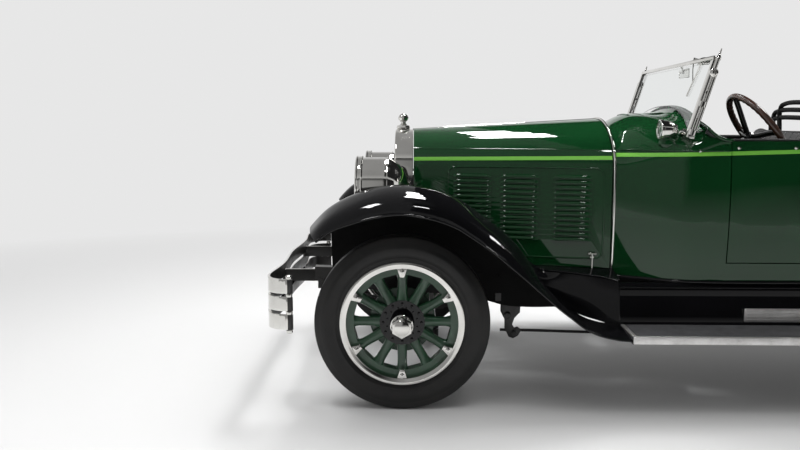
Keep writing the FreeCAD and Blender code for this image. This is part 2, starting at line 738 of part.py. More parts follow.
# Fenders and running boards
def fender(stations):
    """Pressed fender: sections square to the crown line, lofted as a thin sheet."""
    sections = []
    for k, (behind, z, drop, inner_y, inner_drop) in enumerate(stations):
        crown, inward = section_place(stations, k)
        span = FENDER_LIP_Y - FENDER_CROWN_Y
        reach = FENDER_CROWN_Y - inner_y
        outer = [
            (inner_y, inner_drop),
            (inner_y + reach * 0.2, inner_drop * 0.6),
            (inner_y + reach * 0.6, inner_drop * 0.14),
            (FENDER_CROWN_Y, 0.0),
            (FENDER_CROWN_Y + span * 0.45, drop * 0.16),
            (FENDER_CROWN_Y + span * 0.82, drop * 0.5),
            (FENDER_LIP_Y, drop),
        ]
        inner = [
            (inner_y + SHEET * 0.7, inner_drop + SHEET * 0.7),
            (inner_y + reach * 0.2 + 2, inner_drop * 0.6 + SHEET),
            (inner_y + reach * 0.6 + 1, inner_drop * 0.14 + SHEET),
            (FENDER_CROWN_Y, SHEET),
            (FENDER_CROWN_Y + span * 0.45 - 1, drop * 0.16 + SHEET),
            (FENDER_CROWN_Y + span * 0.82 - 3, drop * 0.5 + SHEET * 0.6),
            (FENDER_LIP_Y - SHEET, drop),
        ]
        curves = []
        for points in (outer, inner):
            curve = Part.BSplineCurve()
            curve.interpolate([crown + inward * h + OUTBOARD * y for y, h in points])
            curves.append(curve)
        first = [curve.value(curve.FirstParameter) for curve in curves]
        last = [curve.value(curve.LastParameter) for curve in curves]
        sections.append(Part.Wire([
            curves[0].toShape(),
            Part.makeLine(last[0], last[1]),
            curves[1].toShape(),
            Part.makeLine(first[1], first[0]),
        ]))
    return Part.makeLoft(sections, True)


FRONT_FENDER = (
    (-424, 835, 64, 600, 20),
    (-358, 906, 84, 570, 40),
    (-265, 965, 104, 548, 62),
    (-163, 1004, 112, 542, 72),
    (-21, 1027, 115, 542, 76),
    (89, 1018, 115, 535, 72),
    (268, 957, 105, 520, 60),
    (365, 888, 95, 510, 50),
    (465, 811, 90, 500, 40),
    (542, 733, 80, 495, 32),
    (606, 639, 50, 495, 26),
    (672, 548, 24, 500, 20),
    (756, 468, 14, 520, 14),
    (842, 408, 14, 550, 10),
    (950, 378, 16, 600, 6),
    (BOARD_FRONT - 0.3, BOARD_TOP, 16, BOARD_INNER_Y, 4),
)
VALANCE_STATIONS = FRONT_FENDER[1:12]
DUST_SHIELD_FOOT = 574.0


def section_place(stations, k):
    """Crown point of a station and the direction from it towards the wheel."""
    places = [FreeCAD.Vector(-entry[0], 0, entry[1]) for entry in stations]
    before = places[max(k - 1, 0)]
    after = places[min(k + 1, len(places) - 1)]
    run = (after - before).normalize()
    return vec(stations[k][0], 0, stations[k][1]), FreeCAD.Vector(run.z, 0, -run.x) * -1.0


def front_fender():
    """Crowned fender over the steered wheel."""
    return fender(FRONT_FENDER)


def dust_shield():
    """Sloping sheet that closes the space between fender and frame rail."""
    rail_y = RAIL_OFFSET + RAIL_WIDTH / 2 + SEAT_GAP
    sections = []
    for k, entry in enumerate(FRONT_FENDER):
        if entry not in VALANCE_STATIONS:
            continue
        crown, inward = section_place(FRONT_FENDER, k)
        top = crown + inward * (entry[4] + SHEET + 2 * SEAT_GAP) + OUTBOARD * entry[3]
        foot = FreeCAD.Vector(top.x, rail_y, min(DUST_SHIELD_FOOT, top.z - 4))
        corners = [top, top + OUTBOARD * SHEET, foot + OUTBOARD * SHEET, foot]
        sections.append(Part.makePolygon(corners + corners[:1]))
    return Part.makeLoft(sections, True, True)


REAR_INNER_Y = 600.0
REAR_FENDER = (
    (BOARD_REAR + 0.3, BOARD_TOP, 16, BOARD_INNER_Y, 4),
    (2850, 410, 30, 620, 6),
    (2888, 500, 60, REAR_INNER_Y, 10),
    (2925, 640, 90, REAR_INNER_Y, 10),
    (2990, 790, 105, REAR_INNER_Y, 10),
    (3100, 920, 112, REAR_INNER_Y, 10),
    (3220, 985, 115, REAR_INNER_Y, 10),
    (3350, 1002, 115, REAR_INNER_Y, 10),
    (3490, 975, 112, REAR_INNER_Y, 10),
    (3620, 890, 108, REAR_INNER_Y, 10),
    (3720, 770, 100, REAR_INNER_Y, 10),
    (3790, 620, 90, REAR_INNER_Y, 10),
    (3830, 490, 80, REAR_INNER_Y, 10),
)


def rear_fender():
    """Crowned fender on the rear quarter, trimmed to the body side."""
    skin, _ = tub_shell()
    return fender(REAR_FENDER).cut(skin)


BRACKETS = (1150.0, 1800.0, 2450.0)
BRACKET_LENGTH = 40.0


def bracket_arm(behind, margin):
    """Arm of a running-board bracket, grown by a margin for the notch it passes through."""
    return box(
        behind - margin,
        behind + BRACKET_LENGTH + margin,
        RAIL_OFFSET + RAIL_WIDTH / 2,
        BOARD_INNER_Y + 60,
        BOARD_TOP - 24 - margin,
        BOARD_TOP - 12 + margin,
    )


def running_boards():
    """Both running boards: flat pressed steps with a folded front end."""
    board = box(BOARD_FRONT, BOARD_REAR, BOARD_INNER_Y, FENDER_LIP_Y, BOARD_TOP - BOARD_THICKNESS, BOARD_TOP)
    hollow = box(
        BOARD_FRONT + SHEET,
        BOARD_REAR - SHEET,
        BOARD_INNER_Y + SHEET,
        FENDER_LIP_Y - SHEET,
        BOARD_TOP - BOARD_THICKNESS - 1,
        BOARD_TOP - 12,
    )
    board = board.cut(hollow)
    pieces = [board]
    rail_side = RAIL_OFFSET + RAIL_WIDTH / 2
    for behind in BRACKETS:
        pieces.append(bracket_arm(behind, 0.0))
        pieces.append(box(behind, behind + BRACKET_LENGTH, rail_side, rail_side + 8, BOARD_TOP - 24, RAIL_BOTTOM + 40))
    left = fused(pieces)
    return Part.makeCompound([left, mirrored(left)])


def aprons():
    """Splash aprons between the running boards and the body sill."""
    outline = [
        (BOARD_INNER_Y - 0.3, BOARD_TOP - BOARD_THICKNESS),
        (BOARD_INNER_Y - 0.3, BOARD_TOP + 20),
        (BOARD_INNER_Y - 38, BODY_BOTTOM - 20),
        (BOARD_INNER_Y - 60, BODY_BOTTOM - 0.3),
        (BOARD_INNER_Y - 66, BODY_BOTTOM - 0.3),
        (BOARD_INNER_Y - 44, BODY_BOTTOM - 22),
        (BOARD_INNER_Y - 6, BOARD_TOP + 16),
        (BOARD_INNER_Y - 6, BOARD_TOP - BOARD_THICKNESS),
    ]
    corners = [vec(BOARD_FRONT, y, z) for y, z in outline]
    left = Part.Face(Part.makePolygon(corners + corners[:1])).extrude(FORWARD * (BOARD_FRONT - BOARD_REAR))
    left = left.cut([bracket_arm(behind, SEAT_GAP) for behind in BRACKETS])
    return Part.makeCompound([left, mirrored(left)])


# Hood: a centre hinge, two top panels and two louvred side panels hung from them
HINGE_RADIUS = 5.0
SIDE_HINGE_RADIUS = 4.0
LOUVRE_GROUPS = ((250.0, 438.0), (483.0, 668.0), (732.0, 917.0))
LOUVRE_LOW = 733.0
LOUVRE_PITCH = 25.5
LOUVRE_COUNT = 13
LOUVRE_DEPTH = 9.0
HOOD_START = HOOD_FRONT + PANEL_GAP
HOOD_END = COWL_FRONT - PANEL_GAP


def hood_share(behind):
    return (behind - HOOD_FRONT) / (COWL_FRONT - HOOD_FRONT)


def hood_half(behind):
    return HOOD_HALF_FRONT + (HOOD_HALF_REAR - HOOD_HALF_FRONT) * hood_share(behind)


def hood_top(behind):
    return HOOD_TOP_FRONT + (HOOD_TOP_REAR - HOOD_TOP_FRONT) * hood_share(behind)


def shoulder_angle(behind):
    """Angle on the hood's ellipse where the side panel is hinged."""
    return math.degrees(math.asin((HOOD_SHOULDER - HOOD_SPRING) / (hood_top(behind) - HOOD_SPRING)))


def shoulder_step(behind, distance):
    """Angle that covers a short distance along the hood's arch from its shoulder."""
    angle = math.radians(shoulder_angle(behind))
    rise = hood_top(behind) - HOOD_SPRING
    return math.degrees(distance / math.hypot(hood_half(behind) * math.sin(angle), rise * math.cos(angle)))


def shoulder_point(behind):
    half = hood_half(behind) - HOOD_WALL / 2
    top = hood_top(behind) - HOOD_WALL / 2
    angle = math.radians(shoulder_angle(behind))
    return vec(behind, half * math.cos(angle), HOOD_SPRING + (top - HOOD_SPRING) * math.sin(angle))


def hood_curve(behind, inset, start, stop):
    half = hood_half(behind) - inset
    top = hood_top(behind) - inset
    return arch_points(half, HOOD_SPRING, top, 2.0, start, stop, 7)


def hood_top_panel():
    """Left top panel, with the hinge rod for the side panel along its lower edge."""
    wires = []
    for behind in (HOOD_START, HOOD_END):
        centre_angle = 90 - math.degrees((HINGE_RADIUS + SEAT_GAP) / hood_half(behind))
        start = shoulder_angle(behind) + shoulder_step(behind, SIDE_HINGE_RADIUS / 2)
        outer = spline_across(behind, hood_curve(behind, 0.0, start, centre_angle))
        inner = spline_across(behind, hood_curve(behind, HOOD_WALL, start, centre_angle))
        outer_ends = [outer.Vertexes[0].Point, outer.Vertexes[-1].Point]
        inner_ends = [inner.Vertexes[0].Point, inner.Vertexes[-1].Point]
        wires.append(Part.Wire([
            outer,
            Part.makeLine(outer_ends[1], inner_ends[1]),
            inner,
            Part.makeLine(inner_ends[0], outer_ends[0]),
        ]))
    panel = Part.makeLoft(wires, True, True)
    hinge = rod(shoulder_point(HOOD_START), shoulder_point(HOOD_END), SIDE_HINGE_RADIUS)
    return fused([panel, hinge])


def hood_side_panel():
    """Left side panel with a raised field and three banks of louvres."""
    wires = []
    for behind in (HOOD_START, HOOD_END):
        start = shoulder_angle(behind) - shoulder_step(behind, SIDE_HINGE_RADIUS + SEAT_GAP)
        outer = spline_across(behind, hood_curve(behind, 0.0, start, 0.0))
        inner = spline_across(behind, hood_curve(behind, HOOD_WALL, start, 0.0))
        half = hood_half(behind)
        low_outer = vec(behind, half, HOOD_BOTTOM)
        low_inner = vec(behind, half - HOOD_WALL, HOOD_BOTTOM)
        outer_ends = [outer.Vertexes[0].Point, outer.Vertexes[-1].Point]
        inner_ends = [inner.Vertexes[0].Point, inner.Vertexes[-1].Point]
        wires.append(Part.Wire([
            outer,
            Part.makeLine(outer_ends[1], low_outer),
            Part.makeLine(low_outer, low_inner),
            Part.makeLine(low_inner, inner_ends[1]),
            inner,
            Part.makeLine(inner_ends[0], outer_ends[0]),
        ]))
    panel = Part.makeLoft(wires, True, True)
    start = vec(HOOD_FRONT, HOOD_HALF_FRONT, 0)
    end = vec(COWL_FRONT, HOOD_HALF_REAR, 0)
    rearward = (end - start).normalize()
    outward = FreeCAD.Vector(-rearward.y, rearward.x, 0)
    if outward.y < 0:
        outward = -outward
    pieces = [panel]
    for group_start, group_end in LOUVRE_GROUPS:
        base = vec(group_start, hood_half(group_start), 0) - outward * 2
        length = (group_end - group_start) / -rearward.x
        for k in range(LOUVRE_COUNT):
            z = LOUVRE_LOW + LOUVRE_PITCH * k
            foot = base + UP * z
            corners = [foot, foot + outward * (LOUVRE_DEPTH + 2), foot + outward * 2 + UP * 17, foot + UP * 17]
            louvre = Part.Face(Part.makePolygon(corners + corners[:1])).extrude(rearward * length)
            pieces.append(louvre)
    return fused(pieces)


def hood_rod():
    """Centre hinge rod of the hood, from the radiator to the cowl."""
    z = HINGE_RADIUS - HOOD_WALL / 2 - HINGE_RADIUS
    front = vec(HOOD_FRONT + 2 * SEAT_GAP, 0, HOOD_TOP_FRONT + z)
    return rod(front, vec(COWL_FRONT - 2 * SEAT_GAP, 0, HOOD_TOP_REAR + z), HINGE_RADIUS)


# Body: cowl, tub and doors share one side curve
def side_half(z):
    """Half width of the body side at a height."""
    return BODY_HALF_WIDTH - BODY_TUMBLEHOME * (z - BODY_WIDEST_HEIGHT) ** 2


def body_section(behind, shrink, bottom, spring, top, power, inset):
    """Cross section of the cowl: curved sides and an arched top."""
    def half(z):
        return side_half(z) - shrink - inset

    left = Part.Arc(vec(behind, half(bottom), bottom), vec(behind, half(900), 900), vec(behind, half(spring), spring))
    right = Part.Arc(
        vec(behind, -half(spring), spring), vec(behind, -half(900), 900), vec(behind, -half(bottom), bottom)
    )
    return Part.Wire([
        Part.makeLine(vec(behind, -half(bottom), bottom), vec(behind, half(bottom), bottom)),
        left.toShape(),
        spline_across(behind, arch_points(half(spring), spring, top - inset, power)),
        right.toShape(),
    ])


COWL_STATIONS = (
    (COWL_FRONT, 612.0 - 440.0, 1080.0, 1330.0, 2.0),
    (1140.0, 96.0, 1095.0, 1345.0, 2.1),
    (1290.0, 28.0, 1120.0, 1355.0, 2.2),
    (1345.0, 14.0, 1130.0, 1364.0, 2.2),
    (COWL_REAR, 8.0, 1140.0, 1392.0, 2.2),
    (DOOR_FRONT, 0.0, 1150.0, 1412.0, 2.4),
)
COWL_WALL = 24.0


def cowl_block(inset, bottom, margin=0.0):
    sections = []
    last = len(COWL_STATIONS) - 1
    for k, (behind, shrink, spring, top, power) in enumerate(COWL_STATIONS):
        place = behind
        if k == 0:
            place = behind - margin
        if k == last:
            place = behind + margin
        sections.append(body_section(place, shrink, bottom, spring, top, power, inset))
    return Part.makeLoft(sections, True)


def cowl():
    """Scuttle shell with its firewall; the cockpit edge sweeps down to the door rail."""
    shell = cowl_block(0.0, BODY_BOTTOM).cut(cowl_block(COWL_WALL, BODY_BOTTOM - 10, 4.0))
    cavity = cowl_block(COWL_WALL / 2, BODY_BOTTOM + 12)
    firewall = cavity.common(box(COWL_FRONT + 12, COWL_FRONT + 36, -700, 700, 300, 1500))
    opening = smooth_side(
        [(COWL_REAR, 1300), (COWL_REAR + 22, 1268), (COWL_REAR + 60, 1238), (DOOR_FRONT, BODY_RAIL)],
        -700,
        700,
        [(DOOR_FRONT + 40, BODY_RAIL), (DOOR_FRONT + 40, 1500), (COWL_REAR, 1500)],
    )
    shell = shell.cut(opening)
    dash = cavity.common(box(COWL_REAR - 70, COWL_REAR - 50, -700, 700, 1120, 1500))
    floor_low = RAIL_TOP + SEAT_GAP
    floor = cavity.common(box(COWL_FRONT + 12, DOOR_FRONT, -700, 700, floor_low, floor_low + FLOOR_THICKNESS))
    shell = shell.fuse([firewall, dash, floor]).removeSplitter()
    rail_side = RAIL_OFFSET + RAIL_WIDTH / 2 + SEAT_GAP
    shell = shell.cut(box(COWL_FRONT - 1, DOOR_FRONT + 1, -rail_side, rail_side, BODY_BOTTOM - 20, floor_low))
    axis = column_axis()
    top = vec(WHEEL_CENTRE[0], STEERING_Y, WHEEL_CENTRE[1])
    return shell.cut(rod(top - axis * (COLUMN_LENGTH + BOSS_RECESS), top, COLUMN_RADIUS + SEAT_GAP))


def tub_plan(inset, rear):
    """Plan outline of the tub with rounded rear corners, as a prism."""
    half = BODY_HALF_WIDTH + 1 - inset
    waist = half - 42
    corner = 150.0 - inset
    points = [
        vec(DOOR_FRONT, half, 0),
        vec(2300, half, 0),
        vec(3000, half - 8, 0),
        vec(rear - corner, waist, 0),
    ]
    side = Part.BSplineCurve()
    side.interpolate(points)
    other = Part.BSplineCurve()
    other.interpolate([FreeCAD.Vector(p.x, -p.y, p.z) for p in points])
    turn = corner * (1 - math.sqrt(0.5))
    arcs = [
        Part.Arc(
            vec(rear - corner, sign * waist, 0),
            vec(rear - turn, sign * (waist - turn), 0),
            vec(rear, sign * (waist - corner), 0),
        ).toShape()
        for sign in (1, -1)
    ]
    wire = Part.Wire([
        Part.makeLine(points[0], FreeCAD.Vector(points[0].x, -points[0].y, 0)),
        side.toShape(),
        arcs[0],
        Part.makeLine(vec(rear, waist - corner, 0), vec(rear, corner - waist, 0)),
        arcs[1],
        other.toShape(),
    ])
    return Part.Face(Part.Wire(Part.__sortEdges__(wire.Edges))).extrude(UP * 1600)


def side_prism(inset, bottom, top):
    """The body's constant side curve run along the whole tub."""
    start = DOOR_FRONT
    left = Part.Arc(
        vec(start, side_half(bottom) - inset, bottom),
        vec(start, side_half(900) - inset, 900),
        vec(start, side_half(top) - inset, top),
    )
    right = Part.Arc(
        vec(start, inset - side_half(top), top),
        vec(start, inset - side_half(900), 900),
        vec(start, inset - side_half(bottom), bottom),
    )
    wire = Part.Wire([
        Part.makeLine(vec(start, inset - side_half(bottom), bottom), vec(start, side_half(bottom) - inset, bottom)),
        left.toShape(),
        Part.makeLine(vec(start, side_half(top) - inset, top), vec(start, inset - side_half(top), top)),
        right.toShape(),
    ])
    return Part.Face(wire).extrude(FORWARD * (DOOR_FRONT - BODY_REAR - 10))


PILLAR_FRONT = DOOR_FRONT + DOOR_LENGTH
REAR_DOOR_FRONT = PILLAR_FRONT + PILLAR_LENGTH
REAR_DOOR_REAR = REAR_DOOR_FRONT + DOOR_LENGTH
DOORS = {
    "front": (DOOR_FRONT, PILLAR_FRONT),
    "rear": (REAR_DOOR_FRONT, REAR_DOOR_REAR),
}
SEAT_BASE_TOP = 780.0
REAR_FLOOR = 716.0
REAR_FLOOR_START = 2640.0
SEAT_HALF = 538.0
SEAT_PANEL = 2140.0
DECK_PANEL = 3240.0


def tub_shell():
    outer = side_prism(0.0, BODY_BOTTOM, BODY_RAIL).common(tub_plan(0.0, BODY_REAR))
    inner = side_prism(WALL, BODY_BOTTOM - 5, BODY_RAIL + 5).common(tub_plan(WALL, BODY_REAR - WALL))
    return outer, inner


def door_block(name, side, gap, z_low, z_high):
    front, rear = DOORS[name]
    y_0, y_1 = (500, 700) if side > 0 else (-700, -500)
    return box(front + gap, rear - gap, y_0, y_1, z_low, z_high)


def tub():
    """Open tub: floor, sills, pillars, rear quarters, seat bases and deck."""
    outer, inner = tub_shell()
    floor_bottom = RAIL_TOP + SEAT_GAP
    walls = outer.cut(inner)
    floor_front = inner.common(box(DOOR_FRONT, REAR_FLOOR_START, -650, 650, floor_bottom, floor_bottom + FLOOR_THICKNESS))
    floor_rear = inner.common(
        box(REAR_FLOOR_START - 30, BODY_REAR, -650, 650, REAR_FLOOR, REAR_FLOOR + 30)
    )
    riser = inner.common(box(REAR_FLOOR_START - 30, REAR_FLOOR_START, -650, 650, floor_bottom, REAR_FLOOR + 30))
    front_base = inner.common(box(1740, 2110, -SEAT_HALF, SEAT_HALF, floor_bottom, SEAT_BASE_TOP))
    rear_base = inner.common(box(REAR_FLOOR_START, 3120, -SEAT_HALF, SEAT_HALF, REAR_FLOOR, SEAT_BASE_TOP + 60))
    seat_panel = inner.common(box(SEAT_PANEL, SEAT_PANEL + 25, -650, 650, floor_bottom, BODY_RAIL))
    deck = inner.common(box(3262, BODY_REAR, -650, 650, BODY_RAIL - 24, BODY_RAIL))
    deck_panel = inner.common(box(DECK_PANEL, DECK_PANEL + 24, -650, 650, REAR_FLOOR, BODY_RAIL))
    body = walls.fuse([floor_front, floor_rear, riser, front_base, rear_base, seat_panel, deck, deck_panel])
    over_rails = RAIL_TOP + KICK_UP + SEAT_GAP
    body = body.cut(box(REAR_FLOOR_START + 40, BODY_REAR + 1, -SEAT_HALF, SEAT_HALF, BODY_BOTTOM - 1, over_rails))
    body = body.removeSplitter()
    clear = WALL + PANEL_GAP + 1
    door_zone = outer.cut(side_prism(clear, BODY_BOTTOM - 5, BODY_RAIL + 5))
    for name in DOORS:
        for side in (1, -1):
            opening = door_block(name, side, 0.0, DOOR_BOTTOM - PANEL_GAP, BODY_RAIL + 10)
            body = body.cut(opening.common(door_zone))
    return body.fuse(pillar_hinges()).removeSplitter()


HINGE_HEIGHTS = (760.0, 1120.0)
HINGE_BARREL = 9.0
HINGE_PIN = 5.0
HINGE_LENGTH = 36.0
HINGE_STAND = 11.0


def hinge_axis(name):
    """Place of a left door's hinge axis as (behind, y)."""
    front, rear = DOORS[name]
    behind = rear - PANEL_GAP / 2 if name == "front" else front + PANEL_GAP / 2
    return behind, BODY_HALF_WIDTH + HINGE_STAND


def hinge_part(behind, y, away, z_low, z_high):
    """A hinge barrel with the leaf that fastens it to a door or pillar."""
    barrel = Part.makeCylinder(HINGE_BARREL, z_high - z_low, vec(behind, y, z_low), UP)
    leaf = box(behind + away * 4, behind + away * 40, 590, y - 4, z_low, z_high)
    return barrel.fuse(leaf)


def pillar_hinges():
    """Lower hinge halves on the middle pillar, each with its upright pin."""
    pieces = []
    for name in DOORS:
        behind, y = hinge_axis(name)
        away = 1 if name == "front" else -1
        for height in HINGE_HEIGHTS:
            lug = hinge_part(behind, y, away, height - HINGE_LENGTH, height - 1)
            pin = Part.makeCylinder(HINGE_PIN, 2 * HINGE_LENGTH - 4, vec(behind, y, height - HINGE_LENGTH), UP)
            half = lug.fuse(pin)
            pieces += [half, mirrored(half)]
    return pieces


def door(name):
    """Left door: the body wall inside its shut lines, with two hinge barrels."""
    outer, inner = tub_shell()
    wall = outer.cut(inner)
    panel = wall.common(door_block(name, 1, PANEL_GAP, DOOR_BOTTOM, BODY_RAIL))
    behind, y = hinge_axis(name)
    away = -1 if name == "front" else 1
    pieces = [panel]
    for height in HINGE_HEIGHTS:
        pieces.append(hinge_part(behind, y, away, height, height + HINGE_LENGTH))
    shape = fused(pieces)
    for height in HINGE_HEIGHTS:
        bore = Part.makeCylinder(HINGE_PIN + SHAFT_CLEARANCE, HINGE_LENGTH + 2, vec(behind, y, height - 1), UP)
        shape = shape.cut(bore)
    return shape


# Windshield
POST_Y = 583.5
POST_FOOT = (1319.0, 1239.0)
POST_TIP = (1443.0, 1643.0)
POST_WIDTH = 22.0
POST_DEPTH = 32.0
POST_START = 0.0
PIVOT_SHARE = 0.73
PIVOT_RADIUS = 20.0
GLASS_STRIP = 14.0
LOWER_RAIL = 20.0


def post_point(share):
    """Place on the raked windshield plane, as (behind, z)."""
    behind = POST_FOOT[0] + (POST_TIP[0] - POST_FOOT[0]) * share
    z = POST_FOOT[1] + (POST_TIP[1] - POST_FOOT[1]) * share
    return behind, z


def raked_bar(share_0, share_1, y_0, y_1, depth):
    """A flat bar in the windshield plane."""
    b_0, z_0 = post_point(share_0)
    b_1, z_1 = post_point(share_1)
    half = depth / 2
    return profile_side([(b_0 - half, z_0), (b_0 + half, z_0), (b_1 + half, z_1), (b_1 - half, z_1)], y_0, y_1)


def post_foot(side, margin):
    """Boss that joins a post to the cowl's shoulder."""
    b, z = post_point(POST_START + 0.03)
    return rod(vec(b, side * 480, z), vec(b, side * POST_Y, z), 15 + margin)


def windshield_frame():
    """Raked posts with feet and pivot knobs, a header and a lower rail that follows the cowl."""
    inside = POST_Y - POST_WIDTH / 2
    above_cowl = cowl_block(-SEAT_GAP, BODY_BOTTOM)
    pieces = []
    for side in (1, -1):
        near = side * inside
        far = side * (POST_Y + POST_WIDTH / 2)
        y_0, y_1 = min(near, far), max(near, far)
        pieces.append(raked_bar(POST_START, PIVOT_SHARE, y_0, y_1, POST_DEPTH))
        pieces.append(raked_bar(PIVOT_SHARE, 1.0, y_0, y_1, POST_DEPTH * 0.6))
        b, z = post_point(PIVOT_SHARE)
        pieces.append(rod(vec(b, near, z), vec(b, far + side * 14, z), PIVOT_RADIUS))
        pieces.append(post_foot(side, 0.0).cut(above_cowl))
        strip = side * (inside - GLASS_STRIP)
        pieces.append(raked_bar(POST_START, 0.94, min(strip, near), max(strip, near), 12).cut(above_cowl))
    pieces.append(raked_bar(0.92, 0.985, -inside, inside, 16))
    rail = raked_bar(POST_START - 0.1, 0.6, -inside, inside, 14).cut(above_cowl)
    pieces.append(rail.common(cowl_block(-LOWER_RAIL, BODY_BOTTOM)))
    return fused(pieces)


def windshield_glass():
    inside = POST_Y - POST_WIDTH / 2 - GLASS_STRIP - SEAT_GAP
    pane = raked_bar(POST_START - 0.1, 0.919, -inside, inside, 6)
    bosses = [post_foot(side, SEAT_GAP) for side in (1, -1)]
    return pane.cut([cowl_block(-LOWER_RAIL - SEAT_GAP, BODY_BOTTOM)] + bosses)


# Cabin fittings
def rounded_block(block, radius):
    return block.makeFillet(radius, block.Edges)


def cushion(behind_0, behind_1, half, z_0, z_1, radius):
    return rounded_block(box(behind_0, behind_1, -half, half, z_0, z_1), radius)


def leaning_back(bottom, panel, thickness, half, z_0, z_1, radius):
    """A seat back that leans rearward onto the upper edge of the panel behind it."""
    share = (BODY_RAIL - z_0) / (z_1 - z_0)
    top = bottom + (panel - SEAT_GAP - thickness - bottom) / share
    outline = [(bottom, z_0), (bottom + thickness, z_0), (top + thickness, z_1), (top, z_1)]
    return rounded_block(profile_side(outline, -half, half), radius)


def front_seat():
    seat = cushion(1690, 2010, SEAT_HALF, SEAT_BASE_TOP + SEAT_GAP, 900, 30)
    back = leaning_back(2005, SEAT_PANEL, 105, SEAT_HALF, SEAT_BASE_TOP + 125, 1285, 35)
    return Part.makeCompound([seat, back])


def rear_seat():
    base = SEAT_BASE_TOP + 60
    seat = cushion(2600, 3060, SEAT_HALF, base + SEAT_GAP, base + 130, 35)
    back = leaning_back(3050, DECK_PANEL, 140, SEAT_HALF, base + 135, 1300, 35)
    return Part.makeCompound([seat, back])


def folded_top():
    """The lowered fabric top in its boot, lying on the rear deck."""
    low = BODY_RAIL + SEAT_GAP
    outline = [(3262, low), (3575, low), (3700, low + 40), (3760, 1330), (3690, 1415), (3400, 1425), (3275, 1370)]
    bundle = profile_side(outline, -600, 600)
    return rounded_block(bundle, 30)


WHEEL_CENTRE = (1741.0, 1266.0)
COLUMN_RAKE = 36.0
COLUMN_LENGTH = 1130.0
COLUMN_RADIUS = 19.0
STEERING_RADIUS = 208.0
STEERING_Y = 315.0
RIM_THICKNESS = 13.0
BOSS_RECESS = 62.0


def column_axis():
    angle = math.radians(COLUMN_RAKE)
    return FreeCAD.Vector(-math.cos(angle), 0, math.sin(angle))


def steering_column():
    """Jacket tube from the steering box up to the wheel."""
    axis = column_axis()
    top = vec(WHEEL_CENTRE[0], STEERING_Y, WHEEL_CENTRE[1]) - axis * (BOSS_RECESS + 12)
    bottom = top - axis * COLUMN_LENGTH
    jacket = rod(bottom, top, COLUMN_RADIUS)
    shaft = rod(top - axis * 10, top + axis * 46, 9)
    inner_y = RAIL_OFFSET - RAIL_WIDTH / 2
    box_behind = FRONT_AXLE_X - bottom.x
    gearbox = box(box_behind - 10, box_behind + 95, STEERING_Y - 34, inner_y - SEAT_GAP, bottom.z - 30, bottom.z + 68)
    return fused([jacket, shaft, gearbox])


def steering_wheel():
    """Wood rim on four spokes that rise from a recessed boss."""
    axis = column_axis()
    centre = vec(WHEEL_CENTRE[0], STEERING_Y, WHEEL_CENTRE[1])
    rim = Part.makeTorus(STEERING_RADIUS, RIM_THICKNESS, centre, axis)
    boss_foot = centre - axis * (BOSS_RECESS + 10)
    pieces = [Part.makeCylinder(30, 34, boss_foot, axis)]
    across = FreeCAD.Vector(0, 1, 0)
    up = axis.cross(across)
    for k in range(4):
        angle = math.radians(90 * k)
        out = across * math.cos(angle) + up * math.sin(angle)
        pieces.append(rod(boss_foot + axis * 20, centre + out * STEERING_RADIUS, 8))
    wheel = fused(pieces).fuse(rim)
    bore = rod(boss_foot - axis * 10, boss_foot + axis * 46, 9 + SHAFT_CLEARANCE)
    return wheel.cut(bore)


def cowl_lamps():
    """Two small bullet lamps on the cowl."""
    pieces = []
    for side in (1, -1):
        nose = vec(1190, side * 505, 1288)
        outline = [(0, 0), (0, 30), (5, 35), (20, 35), (25, 32), (60, 26), (76, 14), (82, 0)]
        lamp = revolve(outline, nose, -FORWARD, UP)
        stalk = rod(vec(1230, side * 505, 1170), vec(1230, side * 505, 1285), 13)
        pieces.append(lamp.fuse(stalk.cut(cowl_block(0.0, BODY_BOTTOM))).removeSplitter())
    return Part.makeCompound(pieces)


SPARE_BEHIND = WHEELBASE + 760.0
SPARE_Z = 770.0


def spare():
    """Spare tyre and rim standing behind the tank."""
    shapes = []
    for shape in (tyre_shape(), rim_shape()):
        shape.rotate(ORIGIN, UP, 90)
        shape.translate(vec(SPARE_BEHIND, 0, SPARE_Z))
        shapes.append(shape)
    return shapes


def spare_carrier():
    """Disc and arms that hold the spare rim to the frame."""
    centre = vec(SPARE_BEHIND, 0, SPARE_Z)
    rear = -FORWARD
    reach = RIM_SEAT_RADIUS - RIM_WALL - SEAT_GAP
    disc = Part.makeCylinder(reach, 30, centre - rear * 15, rear).cut(
        Part.makeCylinder(reach - 40, 32, centre - rear * 16, rear)
    )
    pieces = [disc]
    for y in (-150, 150):
        pieces.append(box(SPARE_BEHIND - 200, SPARE_BEHIND - 160, y - 20, y + 20, 640, SPARE_Z + 40))
        pieces.append(box(SPARE_BEHIND - 200, SPARE_BEHIND + 12, y - 20, y + 20, SPARE_Z + 10, SPARE_Z + 40))
        pieces.append(box(SPARE_BEHIND - 12, SPARE_BEHIND + 12, y - 20, y + 20, SPARE_Z - 190, SPARE_Z + 190))
    return fused(pieces).cut(frame())


def tail_lamps():
    pieces = []
    for side in (1, -1):
        nose = vec(WHEELBASE + 560, side * 560, 700)
        lamp = revolve([(0, 0), (0, 34), (6, 38), (34, 36), (50, 18), (50, 0)], nose, FORWARD, UP)
        arm = rod(vec(WHEELBASE + 535, side * 560, 700), vec(WHEELBASE + 535, side * RAIL_OFFSET, 632), 8)
        rail_side = RAIL_OFFSET + RAIL_WIDTH / 2 + SEAT_GAP
        arm = arm.cut(box(WHEELBASE + 500, WHEELBASE + 570, -rail_side, rail_side, 500, 800))
        pieces.append(lamp.fuse(arm).removeSplitter())
    return Part.makeCompound(pieces)


def export(name, shape):
    if not shape.isValid():
        print("not valid:", name)
    shape.exportStep("parts/" + name + ".step")


